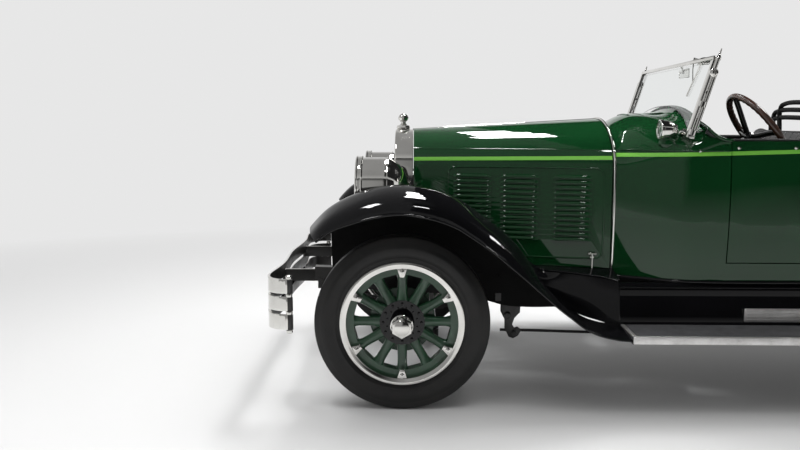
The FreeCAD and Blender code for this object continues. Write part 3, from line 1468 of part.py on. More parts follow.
def main():
    os.makedirs("parts", exist_ok=True)
    pieces = {
        "frame": frame(),
        "engine_block": engine_block(),
        "front_axle": front_axle(),
        "rear_axle": rear_axle(),
        "leaf_springs": leaf_springs(),
        "exhaust": exhaust(),
        "fuel_tank": fuel_tank(),
        "radiator_shell": radiator_shell(),
        "radiator_core": radiator_core(),
        "radiator_cap": radiator_cap(),
        "headlamps": headlamps(),
        "headlamp_glass": headlamp_glass(),
        "front_bumper": bumper(-FRONT_OVERHANG, 1, -430),
        "rear_bumper": bumper(WHEELBASE + REAR_OVERHANG, -1, WHEELBASE + 640),
        "running_boards": running_boards(),
        "aprons": aprons(),
        "hood_rod": hood_rod(),
        "cowl": cowl(),
        "body_tub": tub(),
        "windshield_frame": windshield_frame(),
        "windshield_glass": windshield_glass(),
        "front_seat": front_seat(),
        "rear_seat": rear_seat(),
        "folded_top": folded_top(),
        "steering_column": steering_column(),
        "steering_wheel": steering_wheel(),
        "cowl_lamps": cowl_lamps(),
        "spare_carrier": spare_carrier(),
        "tail_lamps": tail_lamps(),
        "tie_rod": tie_rod(),
    }
    pieces["spare_tyre"], pieces["spare_rim"] = spare()
    left_fender = front_fender()
    pieces["front_fenders"] = Part.makeCompound([left_fender, mirrored(left_fender)])
    left_shield = dust_shield()
    pieces["dust_shields"] = Part.makeCompound([left_shield, mirrored(left_shield)])
    left_fender = rear_fender()
    pieces["rear_fenders"] = Part.makeCompound([left_fender, mirrored(left_fender)])
    for side, name in ((1, "left"), (-1, "right")):
        sided = {
            "hood_top_" + name: hood_top_panel(),
            "hood_side_" + name: hood_side_panel(),
            "knuckle_" + name: knuckle(),
            "door_front_" + name: door("front"),
            "door_rear_" + name: door("rear"),
        }
        for key, shape in sided.items():
            pieces[key] = shape if side > 0 else mirrored(shape)
        for end, behind in (("front", 0.0), ("rear", WHEELBASE)):
            for part, shape in zip(("tyre", "rim", "wheel"), wheel_set(behind, side)):
                pieces["_".join((part, end, name))] = shape
    for name, shape in pieces.items():
        export(name, shape)


if __name__ == "__main__":
    main()
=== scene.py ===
"""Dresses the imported 1920s touring car: paint, plating, rubber, leather, cloth and small fittings."""
import json
import math

import bpy
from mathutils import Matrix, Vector

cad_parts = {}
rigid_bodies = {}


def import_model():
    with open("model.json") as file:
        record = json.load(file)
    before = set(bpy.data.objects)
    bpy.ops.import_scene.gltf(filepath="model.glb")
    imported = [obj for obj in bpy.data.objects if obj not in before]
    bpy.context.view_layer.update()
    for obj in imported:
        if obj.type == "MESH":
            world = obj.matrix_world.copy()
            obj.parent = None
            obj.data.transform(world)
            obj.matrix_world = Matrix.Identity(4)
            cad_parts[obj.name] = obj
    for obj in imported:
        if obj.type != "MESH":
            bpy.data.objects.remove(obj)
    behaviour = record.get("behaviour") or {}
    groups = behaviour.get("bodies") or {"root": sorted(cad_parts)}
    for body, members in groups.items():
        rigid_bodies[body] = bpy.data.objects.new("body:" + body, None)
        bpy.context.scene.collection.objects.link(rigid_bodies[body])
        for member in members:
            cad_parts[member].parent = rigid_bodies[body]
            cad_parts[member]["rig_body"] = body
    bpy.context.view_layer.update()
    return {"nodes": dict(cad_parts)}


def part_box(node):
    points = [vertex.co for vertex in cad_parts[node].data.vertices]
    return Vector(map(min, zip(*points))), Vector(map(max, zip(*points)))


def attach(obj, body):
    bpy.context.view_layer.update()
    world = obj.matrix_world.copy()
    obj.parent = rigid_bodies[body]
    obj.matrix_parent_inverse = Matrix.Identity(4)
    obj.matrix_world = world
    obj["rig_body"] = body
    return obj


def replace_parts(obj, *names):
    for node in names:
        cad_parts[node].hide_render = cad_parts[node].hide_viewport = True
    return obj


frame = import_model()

bl_info = {
    "name": "Touring Car Dresser",
    "version": (1, 0, 0),
    "blender": (4, 5, 0),
    "location": "View3D > Sidebar > Touring Car",
    "description": "Finishes a 1920s open touring car around its fixed frame",
    "category": "Object",
}

FRONT_AXLE = 1.845  # ahead of the frame's origin, in metres


class TouringCarSettings(bpy.types.PropertyGroup):
    paint: bpy.props.FloatVectorProperty(
        name="Body paint",
        description="Enamel of the hood, cowl, tub and doors",
        subtype="COLOR",
        size=4,
        default=(0.003, 0.030, 0.008, 1.0),
    )
    wheel_paint: bpy.props.FloatVectorProperty(
        name="Wheel paint",
        description="Enamel of the spokes and felloes",
        subtype="COLOR",
        size=4,
        default=(0.008, 0.048, 0.019, 1.0),
    )
    stripe: bpy.props.FloatVectorProperty(
        name="Coach line",
        description="Painted line along the hood and body",
        subtype="COLOR",
        size=4,
        default=(0.13, 0.36, 0.05, 1.0),
    )
    stripe_width: bpy.props.FloatProperty(
        name="Coach line width",
        description="Height of the painted line",
        subtype="DISTANCE",
        unit="LENGTH",
        default=0.018,
        min=0.002,
        max=0.05,
    )
    black: bpy.props.FloatVectorProperty(
        name="Wing black",
        description="Enamel of the fenders and aprons",
        subtype="COLOR",
        size=4,
        default=(0.003, 0.003, 0.0035, 1.0),
    )
    backdrop: bpy.props.FloatProperty(
        name="Backdrop",
        description="Brightness of the studio behind the car",
        default=0.8,
        min=0.0,
        max=1.0,
    )


def settings():
    return bpy.context.scene.touring_car


def place(behind, y, z):
    """A point from its distance behind the front axle, side offset and height, in millimetres."""
    return Vector((FRONT_AXLE - behind / 1000.0, y / 1000.0, z / 1000.0))


# Selection and finishing
def clear_selection():
    if bpy.context.mode != "OBJECT":
        bpy.ops.object.mode_set(mode="OBJECT")
    bpy.ops.object.select_all(action="DESELECT")


def take(piece):
    clear_selection()
    piece.select_set(True)
    bpy.context.view_layer.objects.active = piece


def settle(piece):
    """Puts the piece's place into its mesh."""
    take(piece)
    bpy.ops.object.transform_apply(location=True, rotation=True, scale=True)
    return piece


def smooth(piece, angle=35.0):
    take(piece)
    bpy.ops.object.shade_smooth_by_angle(angle=math.radians(angle))


def finish(piece, name, material, body="car"):
    """Names a piece, gives it its finish and ties it to its body."""
    piece.name = name
    piece.data.name = name
    piece.data.materials.clear()
    piece.data.materials.append(MATERIALS[material])
    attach(piece, body)
    return piece


def dressed(pieces, name, material, body="car", angle=35.0):
    """Joins pieces, smooths their edges below an angle and finishes them as one."""
    piece = join(pieces)
    smooth(piece, angle)
    return finish(piece, name, material, body)


def paint_faces(piece, material, test):
    """Gives the faces that pass a test another material."""
    piece.data.materials.append(MATERIALS[material])
    for face in piece.data.polygons:
        if test(face):
            face.material_index = len(piece.data.materials) - 1


def refined(node, material, angle=35.0, edge=0.0):
    """A joined, smooth-shaded copy of a node that stands for it."""
    piece = merged_copy(node)
    if edge:
        bpy.ops.object.mode_set(mode="EDIT")
        bpy.ops.mesh.dissolve_limited(angle_limit=math.radians(0.4))
        bpy.ops.object.mode_set(mode="OBJECT")
        soften(piece, edge, 2, 40.0)
    smooth(piece, angle)
    finish(piece, node + "_panel", material, frame["nodes"][node]["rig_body"])
    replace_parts(piece, node)
    return piece


# Shaping
def lathe(outline, centre, axis, steps=64):
    """Spins a closed outline of (along, radius) points, in millimetres, about an axis."""
    clear_selection()
    bpy.ops.mesh.primitive_circle_add(vertices=len(outline), radius=0.1)
    piece = bpy.context.active_object
    along = Vector(axis).normalized()
    out = along.orthogonal().normalized()
    for vertex, (step, radius) in zip(piece.data.vertices, outline):
        vertex.co = (along * step + out * radius) / 1000.0
    bpy.ops.object.mode_set(mode="EDIT")
    bpy.ops.mesh.select_all(action="SELECT")
    bpy.ops.mesh.spin(steps=steps, angle=2 * math.pi, center=(0, 0, 0), axis=along)
    bpy.ops.mesh.select_all(action="SELECT")
    bpy.ops.mesh.remove_doubles(threshold=0.000002)
    bpy.ops.mesh.dissolve_degenerate(threshold=0.000001)
    bpy.ops.mesh.normals_make_consistent(inside=False)
    bpy.ops.object.mode_set(mode="OBJECT")
    piece.location = centre
    return settle(piece)


def prism(sides, radius, depth, centre, axis, bevel=0.0):
    """A straight bar with flats, its ends softened; sizes in millimetres."""
    clear_selection()
    turn = Vector(axis).to_track_quat("Z", "Y").to_euler()
    bpy.ops.mesh.primitive_cylinder_add(
        vertices=sides, radius=radius / 1000.0, depth=depth / 1000.0, location=centre, rotation=turn
    )
    piece = settle(bpy.context.active_object)
    if bevel:
        soften(piece, bevel)
    return piece


def block(low, high, bevel=0.0, segments=2):
    """A squared piece between two corners, with rounded edges; bevel in millimetres."""
    clear_selection()
    low, high = Vector(low), Vector(high)
    bpy.ops.mesh.primitive_cube_add(size=1.0, location=(low + high) / 2)
    piece = bpy.context.active_object
    piece.scale = high - low
    settle(piece)
    if bevel:
        soften(piece, bevel, segments)
    return piece


def soften(piece, width, segments=2, angle=30.0):
    take(piece)
    rounding = piece.modifiers.new("rounding", "BEVEL")
    rounding.width = width / 1000.0
    rounding.segments = segments
    rounding.limit_method = "ANGLE"
    rounding.angle_limit = math.radians(angle)
    bpy.ops.object.modifier_apply(modifier=rounding.name)
    return piece


def duplicate(piece):
    copied = bpy.data.objects.new(piece.name, piece.data.copy())
    bpy.context.scene.collection.objects.link(copied)
    return copied


def join(pieces):
    clear_selection()
    for piece in pieces:
        piece.select_set(True)
    bpy.context.view_layer.objects.active = pieces[0]
    if len(pieces) > 1:
        bpy.ops.object.join()
    return pieces[0]


def drop(piece):
    bpy.data.objects.remove(piece)


def reshape(piece, move):
    """Moves every vertex by a rule."""
    for vertex in piece.data.vertices:
        vertex.co = move(vertex.co)
    return piece


def face_outward(piece):
    take(piece)
    bpy.ops.object.mode_set(mode="EDIT")
    bpy.ops.mesh.select_all(action="SELECT")
    bpy.ops.mesh.normals_make_consistent(inside=False)
    bpy.ops.object.mode_set(mode="OBJECT")
    return piece


def mirrored(piece):
    """A copy of a left-hand piece for the car's right side."""
    copied = duplicate(piece)
    reshape(copied, lambda co: Vector((co.x, -co.y, co.z)))
    return face_outward(copied)


def both(pieces, name, material, body="car", angle=35.0):
    """Joins and finishes left-hand pieces and their mirror image; SIDE in the body's name is filled in."""
    left = join(pieces)
    if angle:
        smooth(left, angle)
    right = mirrored(left)
    for piece, side in ((left, "left"), (right, "right")):
        finish(piece, "%s_%s" % (name, side), material, body.replace("SIDE", side))


def grid(corners, columns, rows):
    """A flat net of quads between four corners, as bottom pair then top pair."""
    clear_selection()
    bpy.ops.mesh.primitive_grid_add(x_subdivisions=columns, y_subdivisions=rows, size=2.0)
    a, b, c, d = (Vector(corner) for corner in corners)

    def fill(co):
        u, v = (co.x + 1) / 2, (co.y + 1) / 2
        return (a.lerp(b, u)).lerp(c.lerp(d, u), v)

    return reshape(bpy.context.active_object, fill)


def thicken(piece, depth, offset=-1.0):
    """Gives a sheet its thickness, in millimetres."""
    take(piece)
    shell = piece.modifiers.new("shell", "SOLIDIFY")
    shell.thickness = depth / 1000.0
    shell.offset = offset
    bpy.ops.object.modifier_apply(modifier=shell.name)
    return piece


def ringed(piece, count, axis, start=0.0):
    """Copies of a piece set round an axis through the origin, joined to it."""
    copies = []
    for k in range(count):
        copied = duplicate(piece)
        copied.rotation_mode = "AXIS_ANGLE"
        copied.rotation_axis_angle = (start + 2 * math.pi * k / count, *axis)
        copies.append(settle(copied))
    drop(piece)
    return join(copies)


def merged_copy(node):
    source = frame["nodes"][node]
    piece = bpy.data.objects.new(node + "_copy", source.data.copy())
    bpy.context.scene.collection.objects.link(piece)
    take(piece)
    if piece.data.has_custom_normals:
        bpy.ops.mesh.customdata_custom_splitnormals_clear()
    bpy.ops.object.mode_set(mode="EDIT")
    bpy.ops.mesh.select_all(action="SELECT")
    bpy.ops.mesh.remove_doubles(threshold=0.00002)
    bpy.ops.object.mode_set(mode="OBJECT")
    return piece


def keep_vertices(piece, test):
    """Deletes the vertices that fail a test."""
    take(piece)
    for vertex in piece.data.vertices:
        vertex.select = not test(vertex.co)
    bpy.ops.object.mode_set(mode="EDIT")
    bpy.ops.mesh.delete(type="VERT")
    bpy.ops.object.mode_set(mode="OBJECT")


def tube_through(points, radius, cyclic=False, resolution=3):
    """A smooth round bar through points; radius in millimetres."""
    clear_selection()
    bpy.ops.curve.primitive_bezier_curve_add()
    wire = bpy.context.active_object
    spline = wire.data.splines[0]
    spline.bezier_points.add(len(points) - 2)
    for knot, point in zip(spline.bezier_points, points):
        knot.co = point
        knot.handle_left_type = knot.handle_right_type = "AUTO"
    spline.use_cyclic_u = cyclic
    wire.data.resolution_u = 8
    wire.data.bevel_depth = radius / 1000.0
    wire.data.bevel_resolution = resolution
    wire.data.use_fill_caps = True
    bpy.ops.object.convert(target="MESH")
    return bpy.context.active_object


# Shader groups
def new_group(name, inputs, outputs):
    """An empty shader group with its sockets: (label, kind, default) going in, (label, kind) coming out."""
    group = bpy.data.node_groups.new(name, "ShaderNodeTree")
    for label, kind, default in inputs:
        made = group.interface.new_socket(label, in_out="INPUT", socket_type=kind)
        if default is not None:
            made.default_value = default
    for label, kind in outputs:
        group.interface.new_socket(label, in_out="OUTPUT", socket_type=kind)
    return group, group.nodes.new("NodeGroupInput"), group.nodes.new("NodeGroupOutput")


def noise(group, vector, scale, detail=3.0, roughness=0.55):
    node = group.nodes.new("ShaderNodeTexNoise")
    node.inputs["Detail"].default_value = detail
    node.inputs["Roughness"].default_value = roughness
    if isinstance(scale, float):
        node.inputs["Scale"].default_value = scale
    else:
        group.links.new(scale, node.inputs["Scale"])
    group.links.new(vector, node.inputs["Vector"])
    return node.outputs["Fac"]


def maths(group, operation, first, second=None):
    node = group.nodes.new("ShaderNodeMath")
    node.operation = operation
    for k, value in enumerate((first, second)):
        if isinstance(value, (int, float)):
            node.inputs[k].default_value = value
        elif value is not None:
            group.links.new(value, node.inputs[k])
    return node.outputs[0]


def mix_colour(group, share, first, second):
    node = group.nodes.new("ShaderNodeMix")
    node.data_type = "RGBA"
    for k, value in ((0, share), (6, first), (7, second)):
        if isinstance(value, (int, float, tuple)):
            node.inputs[k].default_value = value
        else:
            group.links.new(value, node.inputs[k])
    return node.outputs[2]


def spread(group, value, low, high, to_low, to_high):
    node = group.nodes.new("ShaderNodeMapRange")
    group.links.new(value, node.inputs["Value"])
    for label, number in (("From Min", low), ("From Max", high), ("To Min", to_low), ("To Max", to_high)):
        if isinstance(number, (int, float)):
            node.inputs[label].default_value = number
        else:
            group.links.new(number, node.inputs[label])
    return node.outputs["Result"]


def variation_group():
    """Slow colour drift, fine roughness drift and a faint surface ripple."""
    group, entry, leave = new_group(
        "surface drift",
        [
            ("Vector", "NodeSocketVector", None),
            ("Colour", "NodeSocketColor", (0.5, 0.5, 0.5, 1.0)),
            ("Second Colour", "NodeSocketColor", (0.4, 0.4, 0.4, 1.0)),
            ("Scale", "NodeSocketFloat", 6.0),
            ("Fine Scale", "NodeSocketFloat", 160.0),
            ("Roughness", "NodeSocketFloat", 0.3),
            ("Roughness Drift", "NodeSocketFloat", 0.06),
        ],
        [("Colour", "NodeSocketColor"), ("Roughness", "NodeSocketFloat"), ("Height", "NodeSocketFloat")],
    )
    slow = noise(group, entry.outputs["Vector"], entry.outputs["Scale"])
    fine = noise(group, entry.outputs["Vector"], entry.outputs["Fine Scale"], 2.0)
    share = spread(group, slow, 0.35, 0.65, 0.0, 1.0)
    colour = mix_colour(group, share, entry.outputs["Colour"], entry.outputs["Second Colour"])
    swing = maths(group, "MULTIPLY", maths(group, "SUBTRACT", slow, 0.5), entry.outputs["Roughness Drift"])
    rough = maths(group, "ADD", entry.outputs["Roughness"], maths(group, "MULTIPLY", swing, 4.0))
    group.links.new(colour, leave.inputs["Colour"])
    group.links.new(rough, leave.inputs["Roughness"])
    group.links.new(fine, leave.inputs["Height"])
    return group


def weave_group():
    """Crossed threads of a coarse cloth."""
    group, entry, leave = new_group(
        "cloth weave",
        [("Vector", "NodeSocketVector", None), ("Threads", "NodeSocketFloat", 500.0)],
        [("Height", "NodeSocketFloat"), ("Thread", "NodeSocketFloat")],
    )
    split = group.nodes.new("ShaderNodeSeparateXYZ")
    group.links.new(entry.outputs["Vector"], split.inputs[0])
    along = maths(group, "ADD", split.outputs[0], split.outputs[2])
    waves = []
    for coordinate in (along, split.outputs[1]):
        turned = maths(group, "MULTIPLY", coordinate, entry.outputs["Threads"])
        waves.append(maths(group, "SINE", maths(group, "MULTIPLY", turned, 6.2832)))
    weft = maths(group, "MULTIPLY", waves[0], waves[1])
    height = maths(group, "MULTIPLY", maths(group, "ADD", weft, 1.0), 0.5)
    group.links.new(height, leave.inputs["Height"])
    group.links.new(noise(group, entry.outputs["Vector"], 40.0), leave.inputs["Thread"])
    return group


def hide_group():
    """Leather pebble and creases."""
    group, entry, leave = new_group(
        "hide grain",
        [("Vector", "NodeSocketVector", None), ("Scale", "NodeSocketFloat", 260.0)],
        [("Height", "NodeSocketFloat"), ("Crease", "NodeSocketFloat")],
    )
    cells = group.nodes.new("ShaderNodeTexVoronoi")
    cells.feature = "DISTANCE_TO_EDGE"
    group.links.new(entry.outputs["Vector"], cells.inputs["Vector"])
    group.links.new(entry.outputs["Scale"], cells.inputs["Scale"])
    pebble = spread(group, cells.outputs["Distance"], 0.0, 0.25, 0.0, 1.0)
    folds = noise(group, entry.outputs["Vector"], 22.0, 4.0)
    group.links.new(maths(group, "ADD", pebble, maths(group, "MULTIPLY", folds, 0.6)), leave.inputs["Height"])
    group.links.new(folds, leave.inputs["Crease"])
    return group


GROUPS = {}
MATERIALS = {}


def coordinates(tree):
    return tree.nodes.new("ShaderNodeTexCoord").outputs["Object"]


def base_material(name, roughness, metallic=0.0, coat=0.0, coat_roughness=0.04, specular=0.5):
    material = bpy.data.materials.new(name)
    material.use_nodes = True
    shader = material.node_tree.nodes["Principled BSDF"]
    shader.inputs["Roughness"].default_value = roughness
    shader.inputs["Metallic"].default_value = metallic
    shader.inputs["Coat Weight"].default_value = coat
    shader.inputs["Coat Roughness"].default_value = coat_roughness
    shader.inputs["Specular IOR Level"].default_value = specular
    return material, shader


def add_group(tree, name, **values):
    node = tree.nodes.new("ShaderNodeGroup")
    node.node_tree = GROUPS[name]
    tree.links.new(coordinates(tree), node.inputs["Vector"])
    for label, value in values.items():
        node.inputs[label.replace("_", " ")].default_value = value
    return node


def bump(tree, height, strength, distance, shader):
    node = tree.nodes.new("ShaderNodeBump")
    node.inputs["Strength"].default_value = strength
    node.inputs["Distance"].default_value = distance
    tree.links.new(height, node.inputs["Height"])
    tree.links.new(node.outputs["Normal"], shader.inputs["Normal"])


def drifting(name, colour, second, roughness, drift=0.03, scale=5.0, fine=220.0, ripple=0.05, depth=0.0002,
             **shader_values):
    """A finish whose colour and roughness drift over the surface."""
    material, shader = base_material(name, roughness, **shader_values)
    tree = material.node_tree
    node = add_group(tree, "drift", Colour=colour, Second_Colour=second, Scale=scale, Fine_Scale=fine,
                     Roughness=roughness, Roughness_Drift=drift)
    tree.links.new(node.outputs["Colour"], shader.inputs["Base Color"])
    tree.links.new(node.outputs["Roughness"], shader.inputs["Roughness"])
    bump(tree, node.outputs["Height"], ripple, depth, shader)
    MATERIALS[name] = material
    return material, shader, node


def shade(colour, factor):
    return (colour[0] * factor, colour[1] * factor, colour[2] * factor, 1.0)


# The coach line's two ends: distance behind the axle in millimetres, height in metres
HOOD_LINE = ((46.0, 1.126), (1045.0, 1.141))
BODY_LINE = ((1021.0, 1.155), (1815.0, 1.177))
COWL_JOINT = 1010.0


def line_height(tree, x, ends):
    """Height of the coach line along one stretch."""
    (front, front_z), (rear, rear_z) = ends
    return spread(tree, x, place(front, 0, 0).x, place(rear, 0, 0).x, front_z, rear_z)


def body_paint():
    """Deep green enamel with the painted coach line."""
    chosen = settings()
    green = tuple(chosen.paint)
    material, shader, drift = drifting("body enamel", green, shade(green, 0.8), 0.35, drift=0.02, scale=3.0,
                                       fine=90.0, ripple=0.02, coat=1.0, specular=0.0)
    tree = material.node_tree
    split = tree.nodes.new("ShaderNodeSeparateXYZ")
    tree.links.new(coordinates(tree), split.inputs[0])
    x, z = split.outputs[0], split.outputs[2]
    on_body = maths(tree, "LESS_THAN", x, place(COWL_JOINT, 0, 0).x)
    on_hood = maths(tree, "SUBTRACT", 1.0, on_body)
    hood_part = maths(tree, "MULTIPLY", line_height(tree, x, HOOD_LINE), on_hood)
    body_part = maths(tree, "MULTIPLY", line_height(tree, x, BODY_LINE), on_body)
    away = maths(tree, "ABSOLUTE", maths(tree, "SUBTRACT", z, maths(tree, "ADD", hood_part, body_part)))
    in_line = maths(tree, "LESS_THAN", away, chosen.stripe_width / 2)
    colour = mix_colour(tree, in_line, drift.outputs["Colour"], tuple(chosen.stripe))
    tree.links.new(colour, shader.inputs["Base Color"])


def studio_materials():
    """Paints, metals, rubber, leather and cloth, each from the drift group; glass is plain."""
    chosen = settings()
    GROUPS["drift"] = variation_group()
    GROUPS["weave"] = weave_group()
    GROUPS["hide"] = hide_group()
    body_paint()
    wheel = tuple(chosen.wheel_paint)
    black = tuple(chosen.black)
    drifting("wheel enamel", wheel, shade(wheel, 0.7), 0.4, drift=0.05, scale=14.0, ripple=0.06, coat=0.7,
             coat_roughness=0.12)
    drifting("wing enamel", black, shade(black, 0.7), 0.3, drift=0.02, scale=3.0, fine=90.0, ripple=0.02,
             coat=0.75, specular=0.0)
    drifting("chassis black", (0.006, 0.006, 0.006, 1.0), (0.012, 0.011, 0.010, 1.0), 0.4, drift=0.12,
             scale=9.0, ripple=0.2, coat=0.2, coat_roughness=0.3)
    drifting("cast iron", (0.05, 0.048, 0.045, 1.0), (0.03, 0.028, 0.026, 1.0), 0.55, drift=0.1, scale=12.0,
             ripple=0.4, depth=0.0006, metallic=0.6)
    drifting("nickel plate", (0.78, 0.77, 0.74, 1.0), (0.70, 0.69, 0.66, 1.0), 0.08, drift=0.03, scale=7.0,
             ripple=0.01, metallic=1.0)
    drifting("polished aluminium", (0.80, 0.79, 0.78, 1.0), (0.68, 0.67, 0.66, 1.0), 0.5, drift=0.08,
             scale=18.0, ripple=0.1, metallic=1.0)
    drifting("dial card", (0.62, 0.60, 0.54, 1.0), (0.52, 0.50, 0.44, 1.0), 0.5, drift=0.1, scale=20.0,
             ripple=0.05)
    drifting("radiator core", (0.02, 0.02, 0.02, 1.0), (0.04, 0.036, 0.03, 1.0), 0.4, scale=30.0,
             metallic=0.7)
    drifting("running board rubber", (0.055, 0.056, 0.06, 1.0), (0.04, 0.04, 0.043, 1.0), 0.6, scale=16.0,
             ripple=0.3)
    drifting("dark wood", (0.035, 0.012, 0.006, 1.0), (0.02, 0.008, 0.004, 1.0), 0.3, scale=20.0, coat=0.6)
    drifting("tyre rubber", (0.007, 0.007, 0.007, 1.0), (0.011, 0.0105, 0.010, 1.0), 0.36, drift=0.08,
             scale=11.0, ripple=0.12, depth=0.0005, specular=0.3)
    drifting("underseal", (0.003, 0.003, 0.003, 1.0), (0.005, 0.005, 0.005, 1.0), 0.7, scale=16.0, ripple=0.3,
             specular=0.15)
    leather, shader, _ = drifting("black leather", (0.008, 0.008, 0.009, 1.0), (0.013, 0.012, 0.012, 1.0),
                                  0.46, scale=10.0)
    grain = add_group(leather.node_tree, "hide")
    bump(leather.node_tree, grain.outputs["Height"], 0.35, 0.0006, shader)
    canvas, shader, _ = drifting("black top cloth", (0.018, 0.018, 0.019, 1.0), (0.028, 0.027, 0.027, 1.0),
                                 0.85, scale=8.0)
    weave = add_group(canvas.node_tree, "weave")
    bump(canvas.node_tree, weave.outputs["Height"], 0.5, 0.0006, shader)
    shader.inputs["Sheen Weight"].default_value = 0.25
    glass, shader = base_material("window glass", 0.0)
    shader.inputs["Base Color"].default_value = (0.97, 0.99, 0.985, 1.0)
    shader.inputs["Transmission Weight"].default_value = 1.0
    shader.inputs["IOR"].default_value = 1.25
    MATERIALS["window glass"] = glass


# Nodes that only need a finish: material, slot and nodes
FINISHES = (
    ("body enamel", "green_paint", ("cowl", "body_tub", "hood_top_left", "hood_top_right",
                                    "hood_side_left", "hood_side_right", "door_front_left",
                                    "door_front_right", "door_rear_left", "door_rear_right")),
    ("wing enamel", "black_paint", ("front_fenders", "rear_fenders", "aprons")),
    ("chassis black", "chassis", ("frame", "front_axle", "rear_axle", "leaf_springs", "fuel_tank", "tie_rod",
                                  "knuckle_left", "knuckle_right", "spare_carrier", "steering_column")),
    ("cast iron", "iron", ("engine_block", "exhaust")),
    ("nickel plate", "chrome", ("radiator_shell", "radiator_cap", "headlamps", "hood_rod", "tail_lamps",
                                "front_bumper", "rear_bumper")),
    ("radiator core", "core", ("radiator_core",)),
    ("running board rubber", "mat", ("running_boards",)),
    ("window glass", "glass", ("windshield_glass",)),
)
SMOOTH_ANGLES = {"front_fenders": 70.0, "rear_fenders": 70.0, "headlamps": 45.0}
ROUNDED_EDGES = {"front_bumper": 1.5, "rear_bumper": 1.5}
AXLE_REACH = 0.6475  # half length of the rear axle between its wheels' hubs, in metres
GLASS_DROP = Vector((0.0067, 0.0, -0.022))  # down the rake, below the header


def faces_cabin(face):
    """The inner faces of doors and tub, which are trimmed in black."""
    spot, normal = face.center, face.normal
    return (spot.y * normal.y < -0.15 and abs(normal.y) > 0.5) or (normal.x > 0.5 and spot.x < -1.2)


def faces_back(face, ahead):
    return face.normal.x * ahead < 0.1 and abs(face.normal.z) < 0.5


def trim_panel(node, piece):
    """What single panels get beyond their finish: inner faces, backs and ends."""
    if node == "body_tub" or node.startswith("door"):
        paint_faces(piece, "underseal", faces_cabin)
    if node == "rear_axle":
        reshape(piece, lambda co: Vector((co.x, math.copysign(min(abs(co.y), AXLE_REACH), co.y), co.z)))
    if node == "windshield_glass":
        reshape(piece, lambda co: co + GLASS_DROP if co.z > 1.5 else co)
    if node.endswith("fenders"):
        paint_faces(piece, "underseal", lambda face: face.normal.z < -0.1)
    if node.endswith("bumper"):
        ahead = 1.0 if node == "front_bumper" else -1.0
        paint_faces(piece, "chassis black", lambda face: faces_back(face, ahead))


class CAR_OT_materials(bpy.types.Operator):
    """Makes the paints, plating, rubber, leather and cloth"""

    bl_idname = "touring_car.materials"
    bl_label = "Make finishes"

    def execute(self, context):
        studio_materials()
        return {"FINISHED"}


class CAR_OT_panels(bpy.types.Operator):
    """Smooths the pressed and machined pieces and gives each its finish"""

    bl_idname = "touring_car.panels"
    bl_label = "Finish panels"

    def execute(self, context):
        for material, slot, nodes in FINISHES:
            for node in nodes:
                angle = SMOOTH_ANGLES.get(node, 35.0)
                trim_panel(node, refined(node, material, angle, ROUNDED_EDGES.get(node, 0.0)))
        return {"FINISHED"}


# Wheels: outlines of (along the axle, radius), in millimetres
TREAD_HALF = ((-61, 384), (-56, 392), (-54, 397), (-50, 400.5), (-36, 402), (-35, 396), (-31, 396),
              (-30, 402), (-13, 402.4), (-12, 396), (-8, 396), (-7, 402.4))
INNER_WALL = ((-52, 263), (-57, 272), (-57, 285), (-63, 300), (-68.5, 322), (-69.5, 345), (-67, 366))
OUTER_WALL = ((66, 368), (67.6, 366), (67.6, 362), (69, 360), (69.5, 345), (68.5, 322), (66, 310),
              (66.8, 308), (66.2, 304), (64.6, 303), (63, 300), (59, 291), (60.2, 289), (59.4, 286),
              (57, 285), (57, 272), (52, 263))
RIM_EDGE = ((59, 256), (61, 264), (64, 272), (64.5, 279), (62, 283.5), (58.5, 284), (56, 281), (55, 274),
            (53, 262))
ORIGIN = (0.0, 0.0, 0.0)
OUTBOARD = (0.0, 1.0, 0.0)
SPOKES, CLAMPS, HUB_BOLTS = 12, 6, 12
HUB_RADIUS = 0.1045
HUB_FLANGE, HUB_FACE = 0.0225, 0.032  # from the wheel's centre plane, in metres
HUB_SHORTENING = 0.6
WHEELS = ("front_left", "front_right", "rear_left", "rear_right")


def other_half(outline):
    """The rest of an outline that is alike on both sides of the wheel's plane."""
    return tuple((-along, radius) for along, radius in reversed(outline))


def wood_spokes():
    """Twelve stout turned spokes, oval in section and flared at hub and felloe."""
    outline = [(60, 0), (60, 24), (98, 27), (112, 24), (130, 21.5), (170, 20), (200, 20.5), (213, 23),
               (224, 28), (230, 28), (230, 0)]
    spoke = lathe(outline, ORIGIN, (0, 0, 1), 28)
    reshape(spoke, lambda co: Vector((co.x * 1.08, co.y * 0.96, co.z)))
    return ringed(spoke, SPOKES, OUTBOARD)


def rim_clamps():
    """Six wedge clamps with their nuts, outboard of the felloe."""
    wedge = block((-0.024, 0.028, 0.214), (0.024, 0.056, 0.262), 4.0)
    for vertex in wedge.data.vertices:
        if vertex.co.z < 0.225:
            vertex.co.x *= 0.45
    nut = prism(6, 12.5, 12, (0, 0.060, 0.241), OUTBOARD, 1.5)
    stud = prism(12, 6, 22, (0, 0.060, 0.241), OUTBOARD, 1.0)
    return ringed(join([wedge, nut, stud]), CLAMPS, OUTBOARD)


def hub_bolts():
    """Two rings of bolt heads on the hub flange."""
    outer = prism(6, 7.0, 9, (0, 0.0345, 0.088), OUTBOARD, 0.8)
    inner = prism(12, 4.0, 7, (0, 0.0335, 0.071), OUTBOARD, 0.8)
    return join([ringed(outer, HUB_BOLTS, OUTBOARD), ringed(inner, HUB_BOLTS, OUTBOARD, 0.26)])


def hub_cap_nut():
    """Grease cap: a hexagon nut over a turned collar."""
    collar = lathe([(84, 0), (84, 52), (98, 52), (101, 49), (101, 0)], ORIGIN, OUTBOARD, 48)
    nut = prism(6, 50, 30, (0, 0.115, 0), OUTBOARD, 4.0)
    crown = lathe([(128, 0), (128, 36), (133, 34), (137, 27), (138, 0)], ORIGIN, OUTBOARD, 48)
    return join([collar, nut, crown])


